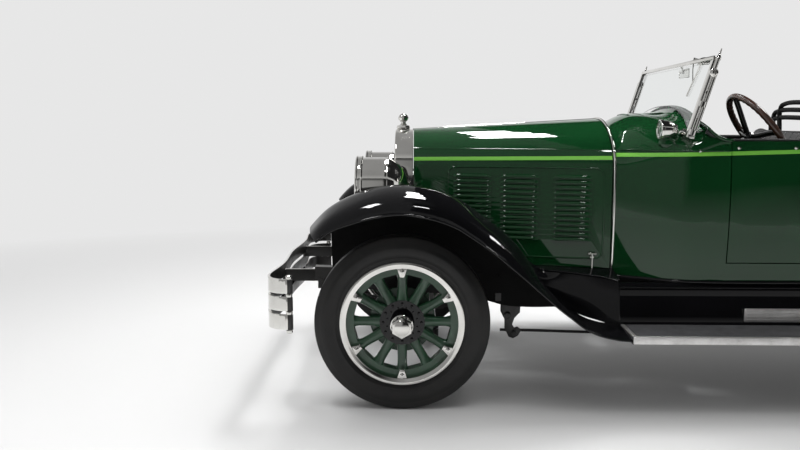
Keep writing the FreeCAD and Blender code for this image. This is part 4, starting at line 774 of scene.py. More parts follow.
def set_wheel(piece, centre, turn):
    """A copy of a wheel piece at its place, turned about the vertical."""
    copied = duplicate(piece)
    copied.rotation_euler = (0, 0, turn)
    copied.location = centre
    return settle(copied)


def middle(node):
    low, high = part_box(node)
    return (low + high) / 2


def dress_hub(name, centre):
    """The wheel's own node: hub in black, drawn in to the length that shows on such wheels."""
    wheel = refined("wheel_" + name, "wheel enamel")
    outward = 1.0 if centre.y > 0 else -1.0

    def on_hub(face):
        spot = face.center - centre
        return math.hypot(spot.x, spot.z) < HUB_RADIUS and abs(spot.y) > HUB_FLANGE

    def shorten(co):
        reach = (co.y - centre.y) * outward
        if reach < HUB_FACE:
            return co
        return Vector((co.x, centre.y + outward * (HUB_FACE + (reach - HUB_FACE) * HUB_SHORTENING), co.z))

    paint_faces(wheel, "wing enamel", on_hub)
    reshape(wheel, shorten)


def dress_wheels():
    """Copies one set of wheel pieces to the four wheels, and its tyre and rim to the spare."""
    tyre = INNER_WALL + TREAD_HALF + other_half(TREAD_HALF) + OUTER_WALL
    rim = RIM_EDGE + other_half(RIM_EDGE)
    kit = (
        (lathe(tyre, ORIGIN, OUTBOARD, 144), 40.0, "road_tyre", "tyre rubber", "tyre", "tyre"),
        (lathe(rim, ORIGIN, OUTBOARD, 120), 50.0, "rolled_rim", "nickel plate", "chrome", "rim"),
        (rim_clamps(), 35.0, "rim_clamps", "nickel plate", "chrome", None),
        (hub_bolts(), 35.0, "hub_bolts", "wing enamel", "black_paint", None),
        (hub_cap_nut(), 35.0, "grease_cap", "nickel plate", "chrome", None),
        (wood_spokes(), 50.0, "wood_spokes", "wheel enamel", "green_wheel", None),
    )
    for piece, angle, *_ in kit:
        smooth(piece, angle)
    for name in WHEELS:
        centre = middle("tyre_" + name)
        turn = 0.0 if centre.y > 0 else math.pi
        for piece, _, label, material, slot, node in kit:
            copied = set_wheel(piece, centre, turn)
            made = finish(copied, "%s_%s" % (label, name), material, "wheel_" + name)
            if node:
                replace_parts(made, "%s_%s" % (node, name))
        dress_hub(name, centre)
    for piece, _, label, material, slot, node in kit[:2]:
        copied = set_wheel(piece, middle("spare_tyre"), math.pi / 2)
        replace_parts(finish(copied, label + "_spare", material), "spare_" + node)
    for piece, *_ in kit:
        drop(piece)


class CAR_OT_wheels(bpy.types.Operator):
    """Builds the tyres, rims, clamps, bolts and grease caps"""

    bl_idname = "touring_car.wheels"
    bl_label = "Dress wheels"

    def execute(self, context):
        dress_wheels()
        return {"FINISHED"}


# Bodywork trim, in millimetres behind the axle, from the centre and from the floor
HOOD_FRONT, HOOD_REAR = 43.0, 1012.0
HOOD_HALF_FRONT, HOOD_HALF_REAR = 229.0, 440.0
HOOD_RUN, HOOD_FLARE = HOOD_REAR - HOOD_FRONT, HOOD_HALF_REAR - HOOD_HALF_FRONT
HOOD_NORMAL = Vector((HOOD_FLARE, HOOD_RUN, 0.0)).normalized()
BODY_HALF, WIDEST_HEIGHT, SIDE_CURVE = 612.0, 900.0, 1.9e-4
COWL_STATIONS = ((1012.0, 1330.0, 440.0), (1140.0, 1345.0, 515.0), (1290.0, 1355.0, 575.0))
COWL_SPRING, COWL_POWER = 1085.0, 2.1
LOUVRES_PER_BANK, LOUVRE_PITCH, LOWEST_LOUVRE = 13, 25.5, 734.0
CATCH_BEHIND = 922.0
LOUVRE_SWELL, LOUVRE_SLOPE, LOUVRE_LIP = 11.5, 17.0, 3.5
LOUVRE_BANKS = ((250.0, 438.0), (483.0, 668.0), (732.0, 917.0))


def hood_half(behind):
    """Half width of the hood at its sides."""
    return HOOD_HALF_FRONT + HOOD_FLARE * (behind - HOOD_FRONT) / HOOD_RUN


def side_half(z):
    """Half width of the body side at a height."""
    return BODY_HALF - SIDE_CURVE * (z - WIDEST_HEIGHT) ** 2


def cowl_arch(behind, shrink, spring, top, power, low, proud=0.0):
    """Points over the cowl from its left foot to its right foot."""
    half = side_half(spring) - shrink + proud
    feet = [low + (spring - low) * k / 8 for k in range(8)] if low < spring else []
    left = [place(behind, side_half(z) - shrink + proud, z) for z in feet]
    arch = []
    for k in range(25):
        angle = math.pi * k / 24
        y = math.copysign(abs(math.cos(angle)) ** (2 / power), math.cos(angle)) * half
        z = spring + (top + proud - spring) * abs(math.sin(angle)) ** (2 / power)
        arch.append(place(behind, y, z))
    return left + arch + [Vector((p.x, -p.y, p.z)) for p in reversed(left)]


def cowl_height(behind, y):
    """Height of the cowl's top surface, between its stations."""
    front, rear = COWL_STATIONS[:2] if behind < COWL_STATIONS[1][0] else COWL_STATIONS[1:]
    share = (behind - front[0]) / (rear[0] - front[0])
    top, half = (a + (b - a) * share for a, b in zip(front[1:], rear[1:]))
    return COWL_SPRING + (top - COWL_SPRING) * (1 - abs(y / half) ** COWL_POWER) ** (1 / COWL_POWER)


def hood_spot(behind, z, proud=0.0):
    """A place on the left hood side, in metres; proud is outward from it."""
    return place(behind, hood_half(behind), z) + HOOD_NORMAL * proud / 1000.0


def pressed_louvre(length):
    """One pressed louvre: a swelled upper slope over a short open lip."""
    clear_selection()
    bpy.ops.mesh.primitive_uv_sphere_add(segments=20, ring_count=14, radius=1.0, rotation=(0, math.pi / 2, 0))
    piece = settle(bpy.context.active_object)

    def swell(co):
        x = math.copysign(abs(co.x) ** 0.4, co.x) * length / 2
        slope = LOUVRE_SLOPE if co.z > 0 else LOUVRE_LIP
        return Vector((x, max(co.y, 0.0) * LOUVRE_SWELL, co.z * slope)) / 1000.0

    return reshape(piece, swell)


def panel_line():
    """The embossed line round the louvres, with rounded corners."""
    front, rear, low, high, corner = 223.0, 970.0, 650.0, 1088.0, 34.0
    line = []
    for x, z, start in ((rear - corner, high - corner, 0), (front + corner, high - corner, 90),
                        (front + corner, low + corner, 180), (rear - corner, low + corner, 270)):
        for k in range(4):
            angle = math.radians(start + 30 * k)
            line.append(hood_spot(x + corner * math.cos(angle), z + corner * math.sin(angle), -2.0))
    return tube_through(line, 5.0, cyclic=True)


def hood_dressing():
    """Louvres and the embossed line round them on each hood side."""
    heading = math.atan2(-HOOD_FLARE, HOOD_RUN)
    louvres = []
    for first, last in LOUVRE_BANKS:
        pattern = pressed_louvre((last - first) / math.cos(heading))
        for k in range(LOUVRES_PER_BANK):
            copied = duplicate(pattern)
            copied.rotation_euler = (0, 0, heading)
            copied.location = hood_spot((first + last) / 2, LOWEST_LOUVRE + LOUVRE_PITCH * k, -0.5)
            louvres.append(settle(copied))
        drop(pattern)
    louvres = join(louvres)
    smooth(louvres, 70)
    ridge = panel_line()
    smooth(ridge, 60)
    both([louvres, ridge], "hood_louvres", "body enamel", "hood_side_SIDE", angle=None)


def hood_catches():
    """Sprung T-handle that holds the hood side down, on its black foot."""
    x = CATCH_BEHIND
    y = hood_half(x) + 16.0
    rod = tube_through([place(x, y, 566), place(x, y, 610), place(x, y, 650), place(x, y, 672)], 4.5)
    grip = lathe([(-20, 0), (-20, 5.5), (-15, 7.5), (0, 5.0), (15, 7.5), (20, 5.5), (20, 0)],
                 place(x, y, 674), (1, 0, 0), 20)
    collar = lathe([(0, 0), (0, 12), (7, 12), (12, 8), (14, 5), (14, 0)], place(x, y, 562), (0, 0, 1), 24)
    hook = block(place(x + 9, y - 20, 652), place(x - 9, y + 2, 664), 2.0)
    both([rod, grip, collar, hook], "hood_catch", "nickel plate")
    foot = block(place(x + 55, y - 26, 548), place(x - 34, y + 10, 562), 4.0)
    web = block(place(x + 12, y - 30, 520), place(x - 12, y - 4, 550), 3.0)
    bolts = [prism(6, 6.5, 6, place(behind, y - 2, 565), (0, 0, 1), 0.8) for behind in (900.0, 960.0)]
    both([foot, web] + bolts, "catch_bracket", "wing enamel")


# Where the cockpit moulding sweeps down into the body rail: behind the axle, height, inset from the side
MOULDING_SWEEP = ((1515.0, 1224.0, 8.0), (1490.0, 1226.0, 9.0), (1460.0, 1237.0, 12.0),
                  (1436.0, 1253.0, 18.0), (1415.0, 1276.0, 32.0))
VENTILATOR_CENTRE, VENTILATOR_REACH, VENTILATOR_HALF = 1246.0, 90.0, 118.0


def cockpit_moulding():
    """Roll over the cowl's rear edge and down to the body rail on each side."""
    arch = [p for p in cowl_arch(1398.0, 8.0, 1140.0, 1391.0, 2.2, 1140.0) if p.z > 1.306]
    sweep = [place(behind, side_half(z) - inset, z + 3) for behind, z, inset in MOULDING_SWEEP]
    other = [Vector((p.x, -p.y, p.z)) for p in reversed(sweep)]
    return tube_through(sweep + arch + other, 8.0)


def swage_line(skin, side):
    """Rolled line along one side of the cowl, laid on its surface."""
    spots = []
    for behind in range(1030, 1500, 26):
        met, spot, _, _ = skin.ray_cast(place(behind, side * 900, 1180), (0, -side, 0))
        if met:
            spots.append(spot + Vector((0, side * 0.001, 0)))
    return tube_through(spots, 4.5)


def cowl_mouldings():
    """Polished joint bead, cockpit moulding and the line along each side."""
    bead = tube_through(cowl_arch(1019.0, 168.0, 1081.0, 1331.0, 2.0, 596.0, 1.0), 6.5)
    dressed([bead], "cowl_joint_bead", "nickel plate", angle=60)
    rolled = [cockpit_moulding()]
    skin = merged_copy("cowl")
    rolled += [swage_line(skin, side) for side in (1, -1)]
    drop(skin)
    dressed(rolled, "cowl_mouldings", "body enamel", angle=60)


def cowl_ventilator():
    """Hinged lid draped over the top of the cowl."""
    clear_selection()
    bpy.ops.mesh.primitive_cube_add(size=2.0)
    lid = bpy.context.active_object
    bpy.ops.object.mode_set(mode="EDIT")
    bpy.ops.mesh.subdivide(number_cuts=11)
    bpy.ops.object.mode_set(mode="OBJECT")

    def drape(co):
        behind, y = VENTILATOR_CENTRE - VENTILATOR_REACH * co.x, VENTILATOR_HALF * co.y
        return place(behind, y, cowl_height(behind, y) + 5.0 * co.z + 2.0)

    reshape(lid, drape)
    soften(lid, 3.0, 3)
    front = VENTILATOR_CENTRE - VENTILATOR_REACH + 2.0
    hinge = tube_through([place(front, y, cowl_height(front, y) + 5.0) for y in (-100, -35, 35, 100)], 5.0)
    dressed([lid, hinge], "cowl_ventilator", "body enamel")


STUD_PLACES = (
    ("car", (1370.0, 2135.0, 2830.0, 3080.0, 3320.0)),
    ("door_front_SIDE", (1542.0, 1800.0, 2040.0)),
    ("door_rear_SIDE", (2230.0, 2480.0, 2720.0)),
)
STUD_OUTLINE = ((-4, 0), (-4, 8), (0, 8), (2, 6), (3, 4), (6, 5), (8, 3), (8.5, 0))
TAIL_START, TAIL_TAPER = 3000.0, 0.062


def curtain_studs():
    """Small turned studs for the side curtains, below the body rail."""
    for body, spots in STUD_PLACES:
        studs = []
        for behind in spots:
            z, inset = (1179.0, 12.0) if behind < 1400 else (1193.0, 0.0)
            y = side_half(z) - inset - max(0.0, behind - TAIL_START) * TAIL_TAPER
            studs.append(lathe(STUD_OUTLINE, place(behind, y, z), OUTBOARD, 20))
        both(studs, "curtain_studs_" + body.replace("_SIDE", ""), "nickel plate", body)


def between(table, share):
    """A row part-way along a table, on a smooth curve through its rows."""
    step = max(0.0, min(share, 1.0)) * (len(table) - 1)
    k = min(int(step), len(table) - 2)
    t = step - k
    rows = [table[max(k - 1, 0)], table[k], table[k + 1], table[min(k + 2, len(table) - 1)]]
    return [
        0.5 * (2 * b + (c - a) * t + (2 * a - 5 * b + 4 * c - d) * t**2 + (3 * b - a - 3 * c + d) * t**3)
        for a, b, c, d in zip(*rows)
    ]


def swept_sheet(lower, upper, columns, rows, bulge=0.0):
    """A sheet between two lines of (behind, z, y) places."""
    clear_selection()
    bpy.ops.mesh.primitive_grid_add(x_subdivisions=columns, y_subdivisions=rows, size=2.0)

    def fill(co):
        low, high = between(lower, (co.x + 1) / 2), between(upper, (co.x + 1) / 2)
        v = (co.y + 1) / 2
        behind, z, y = [a + (b - a) * v for a, b in zip(low, high)]
        return place(behind, y + bulge * math.sin(math.pi * v), z)

    return reshape(bpy.context.active_object, fill)


# Edges of the sheets at the front fender, as rows of (behind, z, y)
SHIELD_STATIONS = (-352, -258, -160, -21, 86, 258, 356, 456, 534, 602)
SHIELD_FOOT = tuple((behind, 574, 413) for behind in SHIELD_STATIONS) + ((672, 528, 413),)
SHIELD_HEAD = ((-340, 866, 570), (-240, 903, 548), (-152, 931, 542), (-21, 949, 542), (74, 943, 535),
               (240, 898, 520), (330, 841, 510), (435, 775, 500), (514, 704, 495), (580, 620, 495),
               (652, 534, 500))
PAN_FOOT = ((330, 470, 414), (420, 432, 416), (520, 408, 418), (640, 402, 419), (760, 404, 419),
            (880, 402, 419), (1000, 404, 419))
PAN_HEAD = ((330, 580, 414),) + tuple((behind, 580, 415) for behind in (420, 520, 640, 760, 880, 1000))
PAN_SCREWS = ((470, 560), (560, 545), (640, 500), (720, 545), (840, 545), (960, 545))
APRON_FOOT = ((600, 634, 494), (672, 530, 500), (756, 456, 520), (842, 400, 550), (950, 374, 600),
              (1019, 345, 632))
APRON_HEAD = ((600, 640, 440), (672, 601, 462), (756, 596, 488), (842, 590, 514), (950, 580, 546),
              (1019, 566, 574))


def dust_shields():
    """Smooth black sheet between each front fender and the frame, and the pan below it."""
    shield = swept_sheet(SHIELD_FOOT, SHIELD_HEAD, 80, 10, 4.0)
    thicken(shield, 4.0)
    pan = swept_sheet(PAN_FOOT, PAN_HEAD, 40, 8)
    thicken(pan, 3.0)
    screw = ((-2, 0), (-2, 7), (2, 6), (4, 0))
    screws = [lathe(screw, place(behind, 418, z), OUTBOARD, 16) for behind, z in PAN_SCREWS]
    piece = join([face_outward(shield), face_outward(pan)] + screws)
    smooth(piece, 50)
    whole = finish(join([piece, mirrored(piece)]), "dust_shield_sheets", "underseal")
    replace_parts(whole, "dust_shields")


def front_apron():
    """Black splash panel and ledge between hood, frame and front fender."""
    panel = swept_sheet(APRON_FOOT, APRON_HEAD, 40, 12, 10.0)
    thicken(panel, 3.0)
    ledge = grid([place(600, hood_half(600) - 10, 600), place(1024, hood_half(HOOD_REAR) - 6, 600),
                  place(600, 448, 603), place(1024, 576, 572)], 12, 4)
    thicken(ledge, 3.0)
    bead = tube_through([place(behind, y, z) for behind, z, y in APRON_HEAD], 4.5)
    both([panel, ledge, bead], "front_apron", "wing enamel", angle=50)


class CAR_OT_trim(bpy.types.Operator):
    """Builds louvres, mouldings, catches, studs and the front apron"""

    bl_idname = "touring_car.trim"
    bl_label = "Dress body"

    def execute(self, context):
        hood_dressing()
        hood_catches()
        cowl_mouldings()
        cowl_ventilator()
        curtain_studs()
        dust_shields()
        front_apron()
        return {"FINISHED"}


# Fenders, boards and bumpers, in millimetres; fender stations are (behind, crown height, edge depth)
BOARD_FRONT, BOARD_REAR, BOARD_TRIM = 1020.0, 2789.0, 17.0
BOARD_INNER, BOARD_OUTER, BOARD_TOP = 637.0, 846.0, 371.0
BOARD_EDGE, RIB_PITCH = 864.0, 9.5
BUMPER_FACES = ((-620.0, 1.0), (4310.0, -1.0))
BUMPER_END, BUMPER_CLAMP = 792.0, 355.0
FENDER_LIPS = (
    ((-424, 835, 64), (-358, 906, 84), (-265, 965, 104), (-163, 1004, 112), (-21, 1027, 115), (89, 1018, 115),
     (268, 957, 105), (365, 888, 95), (465, 811, 90), (542, 733, 80), (606, 639, 50), (672, 548, 24),
     (756, 468, 14), (842, 408, 14), (950, 378, 16), (1019, 371, 16)),
    ((2790, 371, 16), (2850, 410, 30), (2888, 500, 60), (2925, 640, 90), (2990, 790, 105), (3100, 920, 112),
     (3220, 985, 115), (3350, 1002, 115), (3490, 975, 112), (3620, 890, 108), (3720, 770, 100),
     (3790, 620, 90), (3830, 490, 80)),
)
LIP_Y = 858.5


def lip_points(stations, y):
    """Places along a fender's edge, each as deep under its crown line as its station says."""
    points = []
    for k, (behind, z, depth) in enumerate(stations):
        before = stations[max(k - 1, 0)]
        after = stations[min(k + 1, len(stations) - 1)]
        run = Vector((after[0] - before[0], after[1] - before[1])).normalized()
        points.append(place(behind + run.y * depth, y, z - run.x * depth))
    return points


def fender_beads():
    """Rolled wire edge along each fender's outer lip."""
    beads = [tube_through(lip_points(stations, LIP_Y), 5.5) for stations in FENDER_LIPS]
    both(beads, "fender_beads", "wing enamel", angle=60)


def board_dressing():
    """Ribbed rubber, polished edge with its screws, and the scuff plate."""
    front, rear = BOARD_FRONT + BOARD_TRIM, BOARD_REAR - BOARD_TRIM
    mat = block(place(rear, BOARD_INNER + 6, BOARD_TOP - 1), place(front, BOARD_OUTER, BOARD_TOP + 2.6), 1.0)
    rib = block(place(rear - 6, BOARD_INNER + 10, BOARD_TOP + 2),
                place(front + 6, BOARD_INNER + 15, BOARD_TOP + 4.6), 1.0, 1)
    ribs = []
    for k in range(int((BOARD_OUTER - BOARD_INNER - 16) / RIB_PITCH)):
        copied = duplicate(rib)
        copied.location = (0, k * RIB_PITCH / 1000.0, 0)
        ribs.append(settle(copied))
    drop(rib)
    both([mat] + ribs, "board_mat", "running board rubber")
    edge = block(place(BOARD_REAR, BOARD_OUTER, 340.5), place(BOARD_FRONT, BOARD_EDGE, 376), 4.0, 3)
    ends = [block(place(behind + BOARD_TRIM, BOARD_INNER + 4, 369), place(behind, 850, 376), 2.5)
            for behind in (BOARD_FRONT, rear)]
    screw = ((-2, 0), (-2, 5), (0, 5), (1.6, 3), (2, 0))
    screws = [lathe(screw, place(1040 + 145.0 * k, BOARD_EDGE, 357), OUTBOARD, 16) for k in range(12)]
    both([edge] + ends + screws, "board_moulding", "polished aluminium")
    scuff = block(place(2700, 628, 387), place(1590, 641, 452), 6.0, 3)
    rows = [block(place(2690, 638, z), place(1602, 643.5, z + 5), 1.5, 1)
            for z in (397.0, 412.0, 427.0, 442.0)]
    both([scuff] + rows, "scuff_plate", "polished aluminium")


def bumper_bolts():
    """Dome nuts, clamp plates and spacers on both bumpers."""
    pieces = []
    for face, way in BUMPER_FACES:
        for side in (1, -1):
            for z, axis in ((616.0, 1), (377.0, -1)):
                end = place(face + way * 112, side * BUMPER_END, z)
                pieces.append(lathe([(0, 0), (0, 15), (8, 15), (14, 10), (17, 0)], end, (0, 0, axis), 20))
            for z in (539.0, 459.0):
                end = place(face + way * 112, side * BUMPER_END, z)
                pieces.append(prism(20, 15, 14, end, (0, 0, 1), 1.5))
            for z in (580.0, 499.0, 416.0):
                pieces.append(lathe([(-3, 0), (-3, 14), (2, 14), (6, 9), (8, 0)],
                                    place(face + way, side * BUMPER_CLAMP, z), (way, 0, 0), 20))
    dressed(pieces, "bumper_bolts", "nickel plate")


class CAR_OT_edges(bpy.types.Operator):
    """Builds fender beads, running-board trim and bumper bolts"""

    bl_idname = "touring_car.edges"
    bl_label = "Dress fenders and boards"

    def execute(self, context):
        fender_beads()
        board_dressing()
        bumper_bolts()
        return {"FINISHED"}


# Windshield, lamps and radiator
POST_FOOT, POST_TIP = (1319.0, 1239.0), (1443.0, 1643.0)  # behind the axle and height, in millimetres
POST_Y = 583.5
RAKE_RISE, RAKE_RUN = 0.956, 0.2934
POST_AXIS = (-RAKE_RUN, 0.0, RAKE_RISE)
POST_TUBE, POST_HINGE = 9.6, 0.73
POST_FINIAL = ((-12, 0), (-12, 12), (-2, 13), (4, 10), (8, 6), (24, 4.5), (40, 2.5), (42, 0))
POST_COLLAR = ((-12, 0), (-12, 19), (12, 19), (12, 0))
HINGE_KNOB = ((-13, 0), (-13, 16), (-9, 19.5), (9, 19.5), (12, 16), (14, 11), (20, 11), (22, 15),
              (26, 15), (28, 11), (28, 0))
FOOT_TURNING = ((-85, 0), (-85, 30), (-60, 27), (-38, 19), (-14, 16), (0, 16), (10, 15), (12, 0))


def post_spot(share, y, ahead=0.0):
    """A place on the raked windshield plane; ahead is measured square to it."""
    behind = POST_FOOT[0] + (POST_TIP[0] - POST_FOOT[0]) * share
    z = POST_FOOT[1] + (POST_TIP[1] - POST_FOOT[1]) * share
    return place(behind - ahead * RAKE_RISE, y, z + ahead * RAKE_RUN)


def post_turning(share, outline, axis, steps):
    """A turned part on the left post, at a share of its height."""
    return lathe(outline, post_spot(share, POST_Y), axis, steps)


def raked_plate(bottom, top, half_inner, half_outer, ahead):
    """A flat strip on the windshield plane, between two shares of the post's height."""
    return grid([post_spot(bottom, half_inner, ahead), post_spot(bottom, half_outer, ahead),
                 post_spot(top, half_inner, ahead), post_spot(top, half_outer, ahead)], 1, 1)


def windshield_post():
    """Left post: paired lower tubes, hinge clamp with its knob, upper tube and foot."""
    pieces = [tube_through([post_spot(share, POST_Y, ahead) for share in (0.0, 0.25, 0.5, 0.72)], POST_TUBE,
                           resolution=6) for ahead in (-10.5, 10.5)]
    pieces.append(tube_through([post_spot(share, POST_Y) for share in (0.74, 0.82, 0.9)], POST_TUBE,
                               resolution=6))
    pieces.append(post_turning(0.9, POST_FINIAL, POST_AXIS, 28))
    pieces.append(post_turning(POST_HINGE, HINGE_KNOB, OUTBOARD, 40))
    hinge = post_spot(POST_HINGE, POST_Y)
    pieces.append(block(hinge + Vector((-0.004, 0.018, -0.018)), hinge + Vector((0.004, 0.030, 0.018)), 3.0))
    for share in (0.06, 0.38):
        pieces.append(post_turning(share, POST_COLLAR, POST_AXIS, 28))
    pieces.append(post_turning(0.03, FOOT_TURNING, OUTBOARD, 32))
    for share in (0.05, 0.5):
        pieces.append(block(post_spot(share, POST_Y - 25.0) + Vector((-0.008, 0, 0)),
                            post_spot(share + 0.03, POST_Y - 9.0) + Vector((0.008, 0, 0)), 2.0))
    channel = raked_plate(0.02, 0.89, 558.5, 579, 6)
    thicken(channel, 12.0, 1.0)
    return join(pieces + [face_outward(channel)])


def windshield_dressing():
    """Polished frame with its posts and header."""
    rail = merged_copy("windshield_frame")
    keep_vertices(rail, lambda co: abs(co.y) < 0.5575 and co.z < 1.5)
    header = raked_plate(0.865, 0.91, -575, 575, 7)
    thicken(header, 14.0, 1.0)
    face_outward(header)
    soften(header, 5.0, 4)
    left = windshield_post()
    pieces = [rail, header, mirrored(left), left]
    fittings = dressed(pieces, "windshield_fittings", "nickel plate", angle=40)
    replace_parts(fittings, "windshield_frame")


def mirror_and_wiper():
    """Rear-view mirror on its stalk, and the wiper motor with its arm and blade."""
    mirror = block(post_spot(0.84, -75, -52) - Vector((0.008, 0, 0.024)),
                   post_spot(0.84, 75, -52) + Vector((0.002, 0, 0.024)), 6.0, 3)
    motor_half = Vector((0.022, 0, 0.018))
    stalk = tube_through([post_spot(0.92, 0, -10), post_spot(0.90, 0, -32), post_spot(0.85, 0, -47)], 4.0)
    ball = lathe([(-7, 0), (-5, 5), (0, 7), (5, 5), (7, 0)], post_spot(0.85, 0, -47), (1, 0, 0), 20)
    motor = block(post_spot(0.93, 262, -34) - motor_half, post_spot(0.93, 338, -34) + motor_half, 8.0, 3)
    shaft = tube_through([post_spot(0.93, 300, ahead) for ahead in (-20, 12, 20)], 4.0)
    arm = tube_through([post_spot(0.93, 300, 18), post_spot(0.80, 330, 15), post_spot(0.66, 372, 10)], 2.6)
    blade = tube_through([post_spot(0.86, 400, 7), post_spot(0.66, 372, 7), post_spot(0.48, 350, 7)], 3.6)
    dressed([mirror, stalk, ball, motor, shaft, arm, blade], "mirror_and_wiper", "nickel plate")


# Cowl lamps, in millimetres: outlines of (ahead of the lens rim, radius)
COWL_LAMP_BEHIND, COWL_LAMP_Y, COWL_LAMP_Z = 1202.0, 505.0, 1276.0
COWL_LAMP_SHELL = ((-88, 0), (-86, 12), (-76, 26), (-58, 37), (-38, 42), (-14, 44), (-12, 47), (-6, 48),
                   (0, 46), (2, 41), (-1, 37), (-12, 36), (-13, 0))
COWL_LAMP_LENS = ((-8, 0), (-8, 37), (-2, 37), (2, 26), (4.5, 0))


def lamp_fairing(side):
    """A painted fairing under one cowl lamp, swelled toward the cowl."""
    clear_selection()
    bpy.ops.mesh.primitive_uv_sphere_add(segments=32, ring_count=20, radius=1.0)

    def swell(co):
        height = 40.0 - 12.0 * abs(co.x)
        return place(1240.0 - 42.0 * co.x, side * (508.0 + 24.0 * co.y), 1212.0 + co.z * height)

    return face_outward(reshape(bpy.context.active_object, swell))


def cowl_lamp_dressing():
    """Bullet lamps with a rim and lens, each on its fairing."""
    shells, fairings, lenses = [], [], []
    for side in (1, -1):
        nose = place(COWL_LAMP_BEHIND, side * COWL_LAMP_Y, COWL_LAMP_Z)
        shells.append(lathe(COWL_LAMP_SHELL, nose, (1, 0, 0), 48))
        lenses.append(lathe(COWL_LAMP_LENS, nose, (1, 0, 0), 40))
        fairings.append(lamp_fairing(side))
    shell = dressed(shells, "cowl_lamp_shells", "nickel plate", angle=40)
    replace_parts(shell, "cowl_lamps")
    dressed(fairings, "cowl_lamp_fairings", "body enamel", angle=60)
    dressed(lenses, "cowl_lamp_lenses", "window glass", angle=40)


# Headlamps: outlines of (back from the lens rim, radius), in millimetres
LAMP_NOSE, LAMP_Y, LAMP_Z = -230.0, 372.0, 1000.0
PILLAR_BEHIND, PILLAR_FOOT, PILLAR_HEAD = -120.0, 590.0, 828.0
LAMP_RIM = ((-1, 131), (-3, 137), (-3, 142), (0, 147), (6, 148.5), (9, 147), (11, 144), (24, 146),
            (27, 148.5), (31, 147), (33, 143), (33, 136), (10, 131))
LAMP_BAND = ((150, 137.5), (150, 141), (153, 142), (156, 141), (156, 134))
LAMP_TAIL = ((246, 0), (246, 14), (250, 13), (254, 8), (256, 0))
LAMP_LENS = ((5, 0), (5, 129), (3, 129), (-3, 118), (-8, 80), (-11, 40), (-12, 0))
REFLECTOR = ((12, 128), (40, 112), (70, 78), (88, 34), (92, 0), (94, 0), (90, 36), (72, 80), (42, 115),
             (12, 130))
PILLAR_FOOT_CUP = ((0, 0), (0, 26), (8, 24), (26, 19), (42, 16), (42, 0))
PILLAR_HEAD_CUP = ((0, 0), (0, 16), (16, 20), (34, 30), (40, 30), (40, 0))


def headlamp_dressing():
    """Rim beads, clamp screws, ribbed lenses, reflectors and wire conduits."""
    polished, lenses, reflectors = [], [], []
    for side in (1, -1):
        nose = place(LAMP_NOSE, side * LAMP_Y, LAMP_Z)
        back = (-1, 0, 0)
        polished += [lathe(outline, nose, back, steps)
                     for outline, steps in ((LAMP_RIM, 96), (LAMP_BAND, 96), (LAMP_TAIL, 24))]
        polished.append(prism(16, 5, 22, nose + Vector((-0.016, 0, -0.149)), OUTBOARD, 1.0))
        for outline, z in ((PILLAR_FOOT_CUP, PILLAR_FOOT), (PILLAR_HEAD_CUP, PILLAR_HEAD)):
            polished.append(lathe(outline, place(PILLAR_BEHIND, side * LAMP_Y, z), (0, 0, 1), 32))
        conduit = [place(behind, side * y, z) for behind, y, z in
                   ((-60, 372, 868), (-52, 366, 790), (-70, 350, 690), (-75, 320, 612))]
        polished.append(tube_through(conduit, 5.0))
        glass = lathe(LAMP_LENS, nose, back, 96)
        lenses.append(reshape(glass, lambda co: co + Vector((0.0012 * math.cos(co.y * 420.0), 0, 0))))
        reflectors.append(lathe(REFLECTOR, nose, back, 64))
    dressed(polished, "headlamp_rims", "nickel plate", angle=40)
    dressed(reflectors, "lamp_reflectors", "nickel plate", angle=60)
    glass = dressed(lenses, "ribbed_lenses", "window glass", angle=50)
    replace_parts(glass, "headlamp_glass")


# The radiator's opening, in millimetres
OPENING_HALF, OPENING_FOOT, OPENING_SPRING = 194.0, 632.0, 1080.0
FIN_PITCH, TUBE_PITCH = 9.0, 8.0


def radiator_dressing():
    """Fine core of fins and tubes behind the shell, and the beads round its opening."""
    fins = []
    for k in range(-21, 22):
        y = FIN_PITCH * k
        top = OPENING_SPRING + 70.0 * math.sqrt(max(0.0, 1 - (y / OPENING_HALF) ** 2)) + 36.0
        fins.append(block(place(-26, y - 0.9, OPENING_FOOT), place(-33, y + 0.9, top)))
    for k in range(66):
        z = OPENING_FOOT + 4.0 + TUBE_PITCH * k
        half = 193.0 if z < 1085 else 193.0 * math.sqrt(max(0.0, 1 - ((z - 1085) / 110.0) ** 2))
        fins.append(block(place(-26, -half, z - 0.5), place(-31, half, z + 0.5)))
    finish(join(fins), "radiator_fins", "radiator core")
    left = [(OPENING_HALF, z) for z in (OPENING_FOOT, 860.0, OPENING_SPRING)]
    arch = [(OPENING_HALF * math.cos(math.pi * k / 12), OPENING_SPRING + 117.0 * math.sin(math.pi * k / 12))
            for k in range(1, 12)]
    right = [(-y, z) for y, z in reversed(left)]
    bead = tube_through([place(-47, y, z) for y, z in left + arch + right], 4.5)
    foot = tube_through([place(-47, y, OPENING_FOOT - 1) for y in (-196, 0, 196)], 4.5)
    dressed([bead, foot], "radiator_beads", "nickel plate", angle=60)


class CAR_OT_glass(bpy.types.Operator):
    """Builds windshield fittings, lamps and the radiator's front"""

    bl_idname = "touring_car.glass"
    bl_label = "Dress windshield and lamps"

    def execute(self, context):
        windshield_dressing()
        mirror_and_wiper()
        cowl_lamp_dressing()
        headlamp_dressing()
        radiator_dressing()
        return {"FINISHED"}


# Cockpit
WHEEL_PLACE = (1741.0, 315.0, 1266.0)
WHEEL_RADIUS, WHEEL_RIM, FINGER_GRIPS = 0.209, 0.0158, 40
RAKE = math.radians(36)
COLUMN = Vector((-math.cos(RAKE), 0.0, math.sin(RAKE)))
COLUMN_UP = Vector((math.sin(RAKE), 0.0, math.cos(RAKE)))


